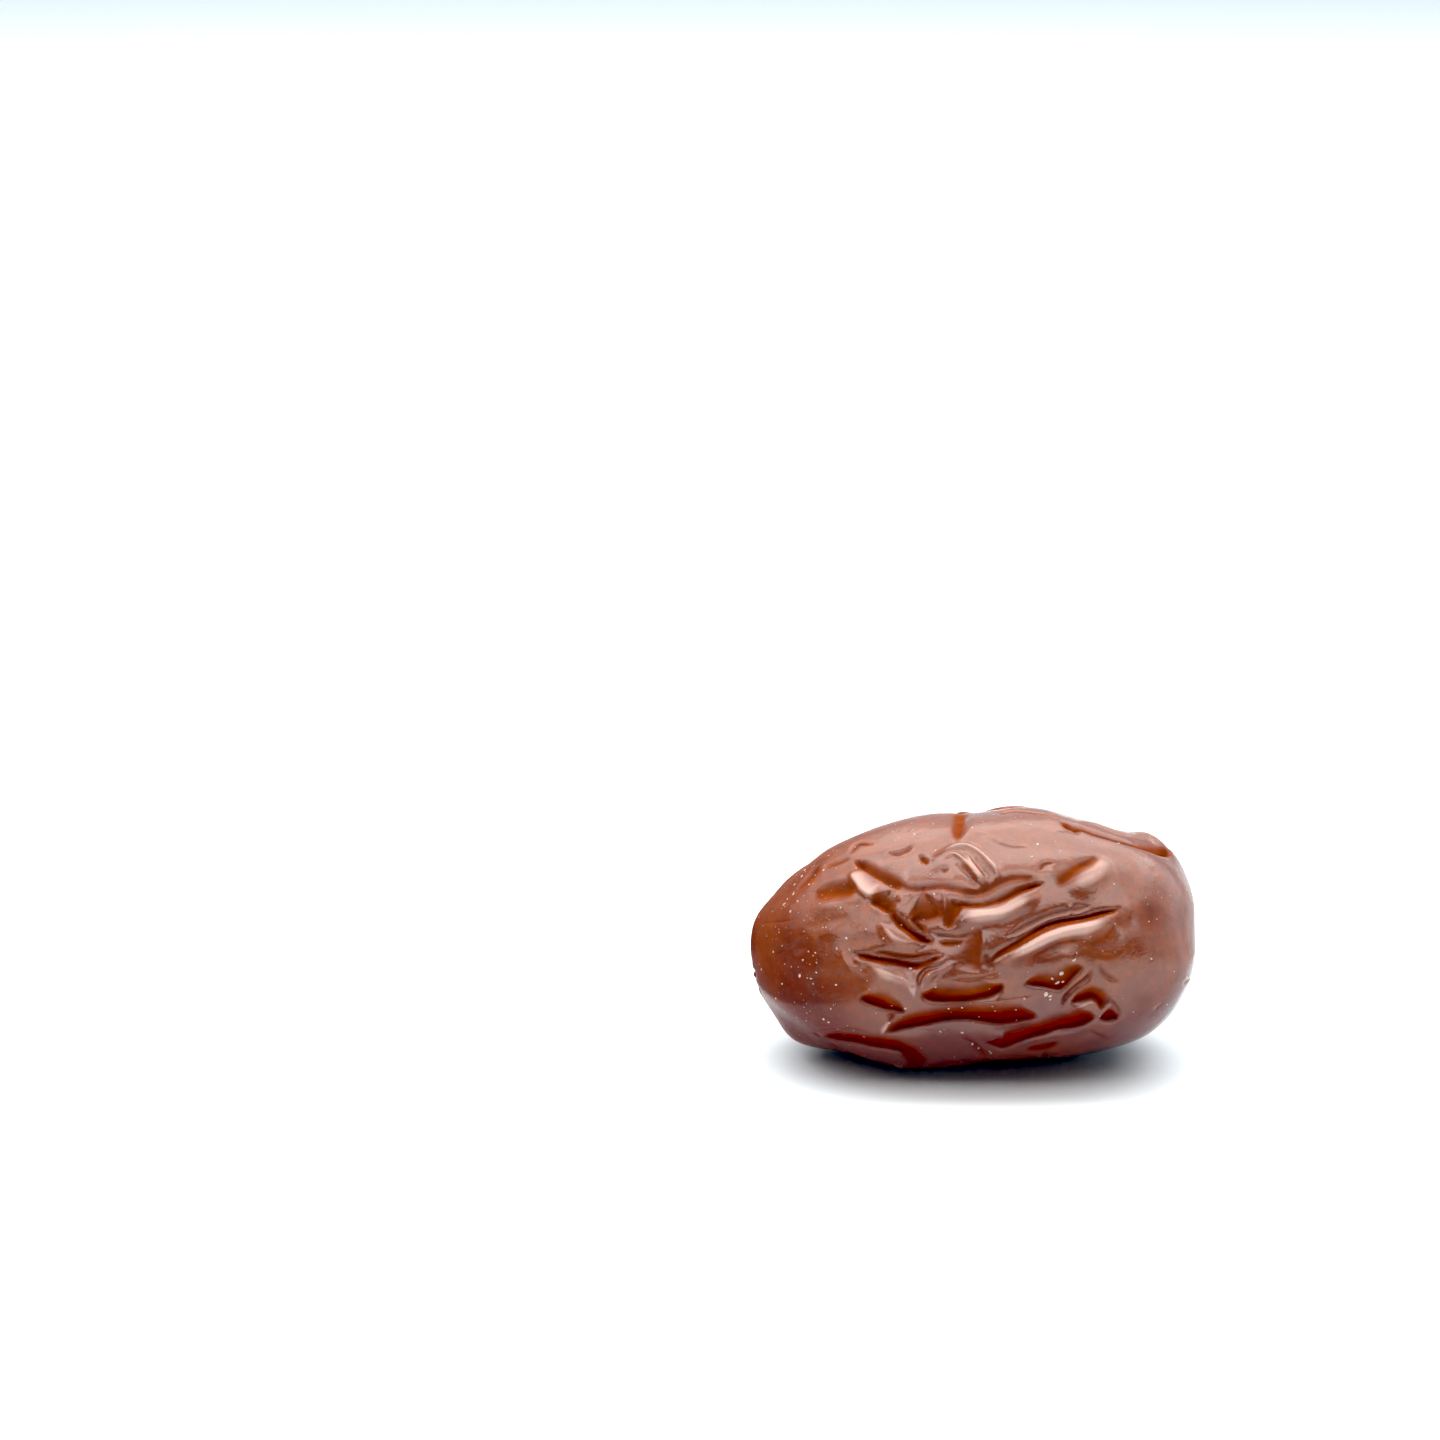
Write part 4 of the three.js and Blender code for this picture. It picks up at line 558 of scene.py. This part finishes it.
def lay_fold(fold, places, normals, depth, shade):
    """Adds one fold to the depth of every place, and its shade to the shade of every place."""
    deep, above, below, power, ends, shaded, line = fold
    above = np.atleast_1d(above)
    near, distance, along, side, _ = near_line(places, normals, line, FOLD_REACH * max(*above, below))
    above = np.interp(along, np.linspace(0, 1, len(above)), above)
    fade = np.sin(math.pi / 2 * np.minimum(1, np.minimum(along, 1 - along) / ends))
    blend = 0.5 + 0.5 * np.clip(side * 1.5, -1, 1)
    width = (below + (above - below) * blend) * (0.5 + 0.5 * fade)
    depth[near] += deep * fade * np.exp(-((distance / width) ** power))
    wide = (SHADE_BELOW * below + (SHADE_ABOVE * above - SHADE_BELOW * below) * blend) * (0.5 + 0.5 * fade)
    cover = shaded * np.minimum(1, 1.6 * fade) * np.exp(-((distance / wide) ** (SHADE_POWER if power < SHARP_POWER else 2)))
    shade[near] = np.maximum(shade[near], cover)


def make_swell(places):
    draw = make_draw(SWELL_SEED)
    total = np.zeros(len(places))
    for _ in range(SWELL_COUNT):
        turn = draw(0, 2 * math.pi)
        lean = draw(-1, 1)
        size = 2 * math.pi * draw(0.7, 1.4)
        flat = math.sqrt(1 - lean * lean)
        way = np.array([
            size * lean / SWELL_LENGTH,
            size * flat * math.cos(turn) / SWELL_ROUND,
            size * flat * math.sin(turn) / SWELL_ROUND,
        ])
        total += np.sin(places @ way + draw(0, 2 * math.pi))
    return total * SWELL_DEPTH / math.sqrt(SWELL_COUNT / 2)


def dent_depth(dent, places):
    x, angle, deep, reach = dent
    distance = np.linalg.norm(places - skin_at(x, math.radians(angle)), axis=1)
    return deep * np.exp(-((distance / reach) ** 2))


def scar_depth(scar, places):
    x, angle, hollow, reach, knob, knob_reach, puckers = scar
    offset = places - skin_at(x, angle)
    distance = np.linalg.norm(offset, axis=1)
    turn = np.arctan2(offset[:, 2], offset[:, 1])
    ring = np.exp(-(((distance - reach) / reach) ** 2) * 3)
    depth = hollow * np.exp(-((distance / reach) ** 2))
    depth += PUCKER_DEPTH * ring * np.cos(puckers * turn)
    return depth - knob * np.exp(-((distance / knob_reach) ** 2))


def make_fruit():
    directions, faces = ball_mesh(SKIN_DETAIL)
    places, normals = skin_points(directions)
    folds = [(*row[1:7], seen_points(smooth_line(row[7], SPLINE_STEP))) for row in FRONT_FOLDS]
    folds += hidden_folds() + end_folds()
    for fold in folds:
        gather(fold, places, normals)
    depth = make_swell(places)
    sunk = np.zeros(len(places))
    shade = np.zeros(len(places))
    for fold in folds:
        lay_fold(fold, places, normals, sunk, shade)
    depth += sunk
    for dent in DENTS:
        depth += dent_depth(dent, places)
    for scar in SCARS:
        depth += scar_depth(scar, places)
    points = places - normals * depth[:, None]
    points[:, 2] = np.maximum(points[:, 2], REST_LEVEL)
    low, high = points.min(0), points.max(0)
    box_low, box_high = np.array(cad_low) / MM, np.array(cad_high) / MM
    points = box_low + (points - low) * (box_high - box_low) / (high - low)
    mesh = bpy.data.meshes.new("jujube_skin")
    mesh.from_pydata((points * MM).tolist(), [], faces.tolist())
    mesh.polygons.foreach_set("use_smooth", [True] * len(mesh.polygons))
    for name, values in (("crease", sunk), ("shade", shade)):
        layer = mesh.attributes.new(name, "FLOAT", "POINT")
        layer.data.foreach_set("value", values.astype(np.float32))
    mesh.update()
    fruit = bpy.data.objects.new("jujube_skin", mesh)
    bpy.context.scene.collection.objects.link(fruit)
    middle = box_low + (0 - low) * (box_high - box_low) / (high - low)
    return fruit, Vector(middle * MM)


fruit, fruit_middle = make_fruit()


def new_material(name):
    material = bpy.data.materials.new(name)
    material.use_nodes = True
    nodes = material.node_tree.nodes
    return material, nodes, material.node_tree.links, nodes["Principled BSDF"]


class NodeMaker:
    """Adds shader nodes to one node tree and links them."""

    def __init__(self, tree):
        self.nodes, self.links = tree.nodes, tree.links
        self.place = self.nodes.new("ShaderNodeTexCoord").outputs["Object"]

    def put(self, socket, value):
        if isinstance(value, bpy.types.NodeSocket):
            self.links.new(value, socket)
        elif isinstance(value, tuple) and socket.type == "RGBA":
            socket.default_value = (*value, 1)
        else:
            socket.default_value = value

    def mix(self, factor, first, second):
        node = self.nodes.new("ShaderNodeMix")
        node.data_type = "RGBA"
        sockets = [socket for socket in node.inputs if socket.enabled]
        for socket, value in zip(sockets, (factor, first, second)):
            self.put(socket, value)
        return next(socket for socket in node.outputs if socket.enabled)

    def ramp(self, value, low, high, start=0.0, end=1.0):
        node = self.nodes.new("ShaderNodeMapRange")
        node.interpolation_type = "SMOOTHSTEP"
        for name, number in (("Value", value), ("From Min", low), ("From Max", high), ("To Min", start), ("To Max", end)):
            self.put(node.inputs[name], number)
        return node.outputs["Result"]

    def math(self, kind, first, second):
        node = self.nodes.new("ShaderNodeMath")
        node.operation = kind
        self.put(node.inputs[0], first)
        self.put(node.inputs[1], second)
        return node.outputs["Value"]

    def stretched(self, scale):
        node = self.nodes.new("ShaderNodeMapping")
        self.put(node.inputs["Vector"], self.place)
        node.inputs["Scale"].default_value = scale
        return node.outputs["Vector"]

    def noise(self, scale, detail, rough=0.5, place=None):
        node = self.nodes.new("ShaderNodeTexNoise")
        node.inputs["Scale"].default_value = scale
        node.inputs["Detail"].default_value = detail
        node.inputs["Roughness"].default_value = rough
        self.put(node.inputs["Vector"], place or self.place)
        return node.outputs["Fac"]

    def specks(self, scale, size, share):
        """Small round spots: one in a part of the cells, of uneven sizes."""
        node = self.nodes.new("ShaderNodeTexVoronoi")
        node.inputs["Scale"].default_value = scale
        self.put(node.inputs["Vector"], self.place)
        split = self.nodes.new("ShaderNodeSeparateColor")
        self.put(split.inputs["Color"], node.outputs["Color"])
        wide = self.ramp(split.outputs["Green"], 0.0, 1.0, 0.4 * size, size)
        spot = self.math("LESS_THAN", node.outputs["Distance"], wide)
        chosen = self.math("LESS_THAN", split.outputs["Red"], share)
        return self.math("MULTIPLY", spot, chosen)

    def layer(self, name):
        node = self.nodes.new("ShaderNodeAttribute")
        node.attribute_name = name
        return node.outputs["Fac"]

    def bump(self, height, distance, normal=None):
        node = self.nodes.new("ShaderNodeBump")
        node.inputs["Distance"].default_value = distance
        self.put(node.inputs["Height"], height)
        if normal:
            self.put(node.inputs["Normal"], normal)
        return node.outputs["Normal"]


def make_skin_material():
    material, _, _, shader = new_material("dried_skin")
    make = NodeMaker(material.node_tree)
    split = make.nodes.new("ShaderNodeSeparateXYZ")
    make.put(split.inputs["Vector"], make.place)
    # Painted light and shade: the skin is painted lighter and more orange towards the top and darker and redder towards
    # the bottom, a little less so at the stem end; the noise patches are the skin's own uneven tone
    height = make.ramp(split.outputs["Z"], 0.005, 0.015)
    along = make.ramp(split.outputs["X"], -0.022, -0.012, 0.75, 1.0)
    patches = make.ramp(make.noise(150, 4), 0.3, 0.7, -0.35, 0.35)
    warmth_and_painted_light = make.math("ADD", make.math("MULTIPLY", height, along), patches)
    skin = make.mix(warmth_and_painted_light, (0.12, 0.008, 0.001), (0.22, 0.042, 0.002))
    shade = make.layer("shade")
    crease = make.layer("crease")
    # Painted shade in the folds: the skin is painted darker and redder where it sinks into a fold, darker still in the
    # deepest folds, and a deeper red in the low folds than in the high ones
    deep_fold_shade = make.mix(make.ramp(crease, 0.55, 0.8), (0.22, 0.042, 0.002), (0.13, 0.016, 0.001))
    inside = make.mix(make.ramp(split.outputs["Z"], 0.008, 0.017), (0.15, 0.003, 0.002), deep_fold_shade)
    skin = make.mix(make.ramp(crease, 0.15, 0.45), skin, inside)
    mottle = make.ramp(make.noise(900, 5, 0.65), 0.35, 0.65, 0.0, 0.35)
    skin = make.mix(mottle, skin, (0.06, 0.008, 0.002))
    # Painted highlight: ridges that stand out of the skin are painted paler the higher they stand
    painted_ridge_highlight = make.ramp(crease, -0.15, -0.5, 0.0, 0.75)
    skin = make.mix(painted_ridge_highlight, skin, (0.68, 0.44, 0.37))

    # Dust lies thicker at the stem end and in patches
    stem_end = make.ramp(split.outputs["X"], -0.019, -0.004)
    patchy = make.ramp(make.noise(260, 4, 0.7), 0.4, 0.75, 0.2, 1.5)
    lying = make.ramp(split.outputs["Z"], 0.008, 0.018, 0.35, 1.0)
    share = make.math("MULTIPLY", make.ramp(stem_end, 0.0, 1.0, 0.35, 0.06), make.math("MULTIPLY", patchy, lying))
    fine = make.specks(3400, 0.3, share)
    coarse = make.specks(1500, 0.16, make.math("MULTIPLY", share, 0.7))
    dust = make.math("MAXIMUM", make.math("MULTIPLY", fine, 0.6), coarse)
    skin = make.mix(dust, skin, (0.5, 0.37, 0.29))
    pale_veil_and_painted_sheen = make.ramp(make.noise(1800, 4, 0.8), 0.45, 0.75, 0.0, 0.08)
    pale_veil_and_painted_sheen = make.math("MULTIPLY", pale_veil_and_painted_sheen, make.ramp(stem_end, 0.0, 1.0, 1.0, 0.25))
    # Painted sheen: away from the folds, the top of the fruit is painted paler
    painted_top_sheen = make.math("MULTIPLY", make.ramp(split.outputs["Z"], 0.018, 0.025), make.ramp(crease, 0.05, 0.25, 0.1, 0.0))
    pale_veil_and_painted_sheen = make.math("ADD", pale_veil_and_painted_sheen, painted_top_sheen)
    skin = make.mix(pale_veil_and_painted_sheen, skin, (0.45, 0.3, 0.22))
    make.put(shader.inputs["Base Color"], skin)

    rough = make.ramp(make.noise(400, 3), 0.3, 0.7, 0.28, 0.4)
    rough = make.math("ADD", rough, make.ramp(stem_end, 0.0, 1.0, 0.25, 0.0))
    rough = make.math("MAXIMUM", rough, make.math("MAXIMUM", make.ramp(shade, 0.0, 1.0, 0.0, 0.75), dust))
    make.put(shader.inputs["Roughness"], rough)
    coat = make.math("MULTIPLY", make.ramp(shade, 0.0, 0.9, 1.0, 0.0), make.math("SUBTRACT", 1.0, dust))
    coat = make.math("MULTIPLY", coat, make.ramp(stem_end, 0.0, 1.0, 0.5, 1.0))
    make.put(shader.inputs["Coat Weight"], coat)
    waves = make.bump(make.noise(700, 2, 0.4), 0.00006)
    grain = make.bump(make.noise(3500, 3, 0.6), 0.00003, waves)
    make.put(shader.inputs["Normal"], grain)
    make.put(shader.inputs["Coat Normal"], grain)
    shader.inputs["Specular IOR Level"].default_value = 0.04
    shader.inputs["Coat Roughness"].default_value = 0.14
    shader.inputs["Subsurface Weight"].default_value = 0.3
    shader.inputs["Subsurface Radius"].default_value = (1.0, 0.25, 0.08)
    shader.inputs["Subsurface Scale"].default_value = 0.0008
    return material


fruit.data.materials.append(make_skin_material())
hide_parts("jujube_fruit")
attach(fruit, "root")

# The crumbs. Pale bits of dust and dried flesh that cling to the skin and lie in its folds. Each is a small
# uneven lump that sits a little into the skin.
CRUMBS_SEED = 11
LOOSE_CRUMBS = 90
CRUMB_DETAIL = 2
CRUMB_SINK = 0.25
CRUMB_LOOSE_SIZE = (0.05, 0.1)
# Each: mm right of and above the middle as the eye sees it, and size in mm
CRUMBS_SEEN = [
    (8.6, -3.4, 0.28), (7.7, -3.9, 0.18), (8.2, -4.3, 0.2), (8.7, -4.2, 0.17), (9.8, -2.1, 0.2),
    (7.1, -5.4, 0.21), (7.5, -5.6, 0.17), (7.5, -5.9, 0.14), (-1, -9.1, 0.16), (0, -10.2, 0.14),
    (0.6, -10.6, 0.15), (-3.1, -9, 0.15), (-6, -2.9, 0.16), (-3.6, -4.7, 0.14), (-1, -6.7, 0.14),
    (-2.3, -6.8, 0.12), (-6.5, -6.8, 0.15), (4.2, -6.9, 0.13), (-12.2, 0, 0.16), (-16.7, -3.6, 0.15),
    (-13.2, -4.5, 0.14), (-15.1, -3.3, 0.13), (-15.6, -3.9, 0.12), (-20.4, -3, 0.13), (-18.4, -4.4, 0.12),
    (-19, -5.8, 0.13), (-13.7, -6.8, 0.13), (-14.4, -7.8, 0.15), (-13.9, -8.1, 0.13), (-16.4, -2.1, 0.11),
    (-15.2, -1.4, 0.11), (-13.1, -1, 0.13), (-11.9, -1.1, 0.12), (-8.6, 0, 0.11), (17.3, -2, 0.14),
    (19.5, -3.2, 0.11), (18.8, -6.4, 0.1), (-10.5, -9.5, 0.14), (6.3, 9.1, 0.15), (5.7, 7.9, 0.13),
    (-7.7, 10.3, 0.1), (-5.6, 10.1, 0.11), (-3.6, 8.5, 0.1), (-3.7, 4.3, 0.12), (0, 1, 0.11),
    (14.1, 9.2, 0.13), (-16.5, 6, 0.16), (-17.2, 5.2, 0.17), (-17.3, 4.3, 0.16), (-18.2, 3.3, 0.17),
    (-16.9, 3.6, 0.14), (-16.3, 4.1, 0.11), (-16.2, 6.6, 0.13), (-15.2, 6.1, 0.13), (-17.6, 2.6, 0.15),
    (-17.9, 3.8, 0.15), (-15.8, 5.2, 0.14), (-15.3, 7, 0.12), (-14.4, 6.6, 0.13), (-13.9, 8, 0.11),
]


def crumb_places(draw, tree):
    """Where each crumb sits, which way is out of the skin there, and its size."""
    places = []
    for right, up, size in CRUMBS_SEEN:
        target = right * eye_right + up * eye_up
        start = fruit_middle + Vector(eye) * MM
        spot, normal, _, _ = tree.ray_cast(start, Vector(target - eye).normalized())
        if spot:
            places.append((spot, normal, size * MM))
    for _ in range(LOOSE_CRUMBS):
        turn = draw(0, 2 * math.pi)
        lean = draw(-1, 1)
        flat = math.sqrt(1 - lean * lean)
        way = Vector((lean, flat * math.cos(turn), flat * math.sin(turn)))
        spot, normal, _, _ = tree.find_nearest(fruit_middle + way * HALF_LENGTH * MM)
        places.append((spot, normal, draw(*CRUMB_LOOSE_SIZE) * MM))
    return places


def make_crumbs():
    draw = make_draw(CRUMBS_SEED)
    tree = BVHTree.FromPolygons([v.co for v in fruit.data.vertices], [tuple(f.vertices) for f in fruit.data.polygons])
    ball, ball_faces = ball_mesh(CRUMB_DETAIL)
    points, faces = [], []
    for spot, normal, size in crumb_places(draw, tree):
        if spot.z < size:
            continue
        side = normal.orthogonal().normalized()
        side.rotate(Quaternion(normal, draw(0, 2 * math.pi)))
        other = normal.cross(side)
        long, short, tall = draw(0.8, 1.4), draw(0.5, 0.9), draw(0.45, 0.8)
        first = len(points)
        for x, y, z in ball:
            bulge = size * draw(0.75, 1.15)
            out = (side * x * long + other * y * short + normal * (z * tall - CRUMB_SINK)) * bulge
            points.append([min(max(value, low), high) for value, low, high in zip(spot + out, cad_low, cad_high)])
        faces += [[first + corner for corner in face] for face in ball_faces.tolist()]
    mesh = bpy.data.meshes.new("dust_crumbs")
    mesh.from_pydata(points, [], faces)
    mesh.update()
    crumbs = bpy.data.objects.new("dust_crumbs", mesh)
    bpy.context.scene.collection.objects.link(crumbs)
    return crumbs


def make_crumb_material():
    material, _, _, shader = new_material("pale_dust")
    make = NodeMaker(material.node_tree)
    blotch = make.ramp(make.noise(6000, 3), 0.35, 0.65)
    make.put(shader.inputs["Base Color"], make.mix(blotch, (0.44, 0.3, 0.23), (0.68, 0.57, 0.49)))
    make.put(shader.inputs["Normal"], make.bump(make.noise(9000, 2), 0.00002))
    shader.inputs["Roughness"].default_value = 0.8
    shader.inputs["Subsurface Weight"].default_value = 0.2
    shader.inputs["Subsurface Scale"].default_value = 0.0001
    return material


crumbs = make_crumbs()
crumbs.data.materials.append(make_crumb_material())
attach(crumbs, "root")

# The table. A plain white surface under the fruit, far wider than the picture shows.
TABLE_SIDE = 4.0


def make_table():
    half = TABLE_SIDE / 2
    mesh = bpy.data.meshes.new("table_top")
    mesh.from_pydata([(-half, -half, 0), (half, -half, 0), (half, half, 0), (-half, half, 0)], [], [(0, 1, 2, 3)])
    table = bpy.data.objects.new("table_top", mesh)
    bpy.context.scene.collection.objects.link(table)
    material, _, _, shader = new_material("white_table")
    shader.inputs["Base Color"].default_value = (0.81, 0.87, 0.9, 1)
    shader.inputs["Roughness"].default_value = 0.6
    mesh.materials.append(material)
    return table


make_table()


# The light. A large soft box overhead and a bright wall to the right and behind, with a dark room in front.
def soft_box(name, place, target, size, power, colour=(1, 1, 1)):
    light = bpy.data.lights.new(name, "AREA")
    light.shape = "RECTANGLE"
    light.size, light.size_y = size
    light.energy = power
    light.color = colour
    box = bpy.data.objects.new(name, light)
    box.location = place
    box.rotation_euler = (Vector(target) - Vector(place)).to_track_quat("-Z", "Y").to_euler()
    box.visible_camera = False
    bpy.context.scene.collection.objects.link(box)
    return box


soft_box("overhead_box", (-0.07, 0.21, 0.5), (-0.07, 0.21, 0), (1.45, 1.08), 13.5, (1, 0.97, 0.95))
soft_box("bright_strip", (-0.05, 0.08, 0.49), (-0.05, 0.08, 0), (0.8, 0.24), 1.6, (1, 0.98, 0.97))
right_box = soft_box("right_box", (0.7, 0.05, 0.3), (0, 0, 0.01), (1.3, 0.6), 4.4, (0.95, 0.98, 1))
right_box.visible_diffuse = False


def soft_card(name, place, target, size, strength, colour):
    """A glowing card that fades towards its edges, so that its reflection has no hard border."""
    wide, high = size[0] / 2, size[1] / 2
    mesh = bpy.data.meshes.new(name)
    mesh.from_pydata([(-wide, -high, 0), (wide, -high, 0), (wide, high, 0), (-wide, high, 0)], [], [(0, 1, 2, 3)])
    card = bpy.data.objects.new(name, mesh)
    card.location = place
    card.rotation_euler = (Vector(target) - Vector(place)).to_track_quat("-Z", "Y").to_euler()
    bpy.context.scene.collection.objects.link(card)
    material, _, _, shader = new_material(name)
    make = NodeMaker(material.node_tree)
    split = make.nodes.new("ShaderNodeSeparateXYZ")
    make.put(split.inputs["Vector"], make.place)
    across = make.ramp(make.math("ABSOLUTE", split.outputs["X"], 0.0), 0.5 * wide, wide, 1.0, 0.0)
    upward = make.ramp(make.math("ABSOLUTE", split.outputs["Y"], 0.0), 0.4 * high, high, 1.0, 0.0)
    make.put(shader.inputs["Emission Color"], make.mix(make.math("MULTIPLY", across, upward), (0, 0, 0), colour))
    shader.inputs["Emission Strength"].default_value = strength
    shader.inputs["Base Color"].default_value = (0, 0, 0, 1)
    shader.inputs["Roughness"].default_value = 1
    mesh.materials.append(material)
    card.visible_camera = card.visible_diffuse = card.visible_shadow = False
    card.visible_transmission = card.visible_volume_scatter = False


soft_card("front_card", (-0.1, -0.53, 0.45), (-0.1, 0, 0), (1.9, 0.78), 5.2, (1, 0.98, 0.96))
soft_card("left_high_card", (-0.62, -0.05, 0.5), (0, 0, 0), (1.0, 0.8), 2.2, (1, 0.97, 0.95))


def make_bounce_card():
    """A glow just above the table in front, which lifts the table's reflection in the low half of the skin."""
    near, far, side, level = -0.0125, -0.6, 0.6, 0.0006
    mesh = bpy.data.meshes.new("bounce_card")
    mesh.from_pydata([(-side, far, level), (side, far, level), (side, near, level), (-side, near, level)], [], [(0, 1, 2, 3)])
    card = bpy.data.objects.new("bounce_card", mesh)
    bpy.context.scene.collection.objects.link(card)
    material, _, _, shader = new_material("bounce_card")
    make = NodeMaker(material.node_tree)
    split = make.nodes.new("ShaderNodeSeparateXYZ")
    make.put(split.inputs["Vector"], make.place)
    glow = make.ramp(split.outputs["Y"], -0.012, -0.02)
    make.put(shader.inputs["Emission Color"], make.mix(glow, (0.7, 0.68, 0.66), (1, 0.97, 0.95)))
    shader.inputs["Emission Strength"].default_value = 2.8
    shader.inputs["Base Color"].default_value = (0, 0, 0, 1)
    shader.inputs["Roughness"].default_value = 1
    mesh.materials.append(material)
    card.visible_camera = card.visible_diffuse = card.visible_shadow = False
    card.visible_transmission = card.visible_volume_scatter = False


make_bounce_card()


def make_world():
    world = bpy.data.worlds.new("studio")
    world.use_nodes = True
    make = NodeMaker(world.node_tree)
    way = make.nodes.new("ShaderNodeTexCoord")
    split = make.nodes.new("ShaderNodeSeparateXYZ")
    make.put(split.inputs["Vector"], way.outputs["Generated"])
    behind = make.ramp(split.outputs["Y"], -0.25, 0.4, 0.02, 1.0)
    right = make.ramp(split.outputs["X"], -0.6, 0.35, 0.6, 0.8)
    dim = make.math("MULTIPLY", behind, right)
    path = make.nodes.new("ShaderNodeLightPath")
    strength = make.math("MAXIMUM", dim, path.outputs["Is Camera Ray"])
    background = make.nodes["Background"]
    background.inputs["Color"].default_value = (0.66, 0.88, 1, 1)
    make.put(background.inputs["Strength"], strength)
    bpy.context.scene.world = world


make_world()

# Dark cards that stand for the dim side of the room. They show only in the gloss of the skin.
def dark_card(name, corners, cover=1.0, soft=0.0):
    mesh = bpy.data.meshes.new(name)
    mesh.from_pydata(corners, [], [(0, 1, 2, 3)])
    card = bpy.data.objects.new(name, mesh)
    bpy.context.scene.collection.objects.link(card)
    material, _, _, shader = new_material(name)
    make = NodeMaker(material.node_tree)
    split = make.nodes.new("ShaderNodeSeparateXYZ")
    make.put(split.inputs["Vector"], make.place)
    alpha = make.ramp(split.outputs["Z"], 0.004, 0.034, cover, 0.0)
    if soft:
        front = min(corner[1] for corner in corners)
        alpha = make.math("MULTIPLY", alpha, make.ramp(split.outputs["Y"], front, front + soft))
    make.put(shader.inputs["Alpha"], alpha)
    shader.inputs["Base Color"].default_value = (0.05, 0.012, 0.006, 1)
    shader.inputs["Roughness"].default_value = 1
    mesh.materials.append(material)
    card.visible_camera = card.visible_diffuse = card.visible_shadow = False
    card.visible_transmission = card.visible_volume_scatter = False


dark_card("left_card", [(-0.042, -0.06, 0), (-0.042, 0.06, 0), (-0.055, 0.06, 0.04), (-0.055, -0.06, 0.04)], 0.95, 0.07)
dark_card("back_card", [(-0.08, 0.02, 0), (-0.002, 0.03, 0), (-0.016, 0.034, 0.034), (-0.08, 0.024, 0.034)])
dark_card("rim_card", [(0.005, 0.03, 0), (0.08, 0.02, 0), (0.08, 0.024, 0.03), (0.005, 0.034, 0.03)], 0.5)
dark_card("low_card", [(-0.09, -0.07, 0.001), (-0.026, -0.035, 0.001), (-0.024, 0.05, 0.001), (-0.09, 0.07, 0.001)], 0.85, 0.05)
view = bpy.context.scene.view_settings
view.view_transform = "Standard"
view.use_curve_mapping = True
view.curve_mapping.black_level = (0.026, 0.018, 0.012)
view.curve_mapping.update()

# The camera. It stands in front and a little above, and looks past the fruit to its upper left.
SENSOR = 36
PICTURE_SIDE = 1440
FRUIT_LENGTH_PIXELS = 445
FRUIT_LENGTH = 43.0


def make_camera():
    camera_data = bpy.data.cameras.new("camera")
    picture_width = PICTURE_SIDE / FRUIT_LENGTH_PIXELS * FRUIT_LENGTH
    camera_data.sensor_width = SENSOR
    camera_data.lens = SENSOR * EYE_DISTANCE / picture_width
    camera = bpy.data.objects.new("camera", camera_data)
    camera.location = fruit_middle + Vector(eye) * MM
    camera.rotation_euler = (math.pi / 2 - EYE_ELEVATION, 0, 0)
    camera_data.clip_start = 0.01
    camera_data.clip_end = 20
    bpy.context.scene.collection.objects.link(camera)
    bpy.context.scene.camera = camera


make_camera()
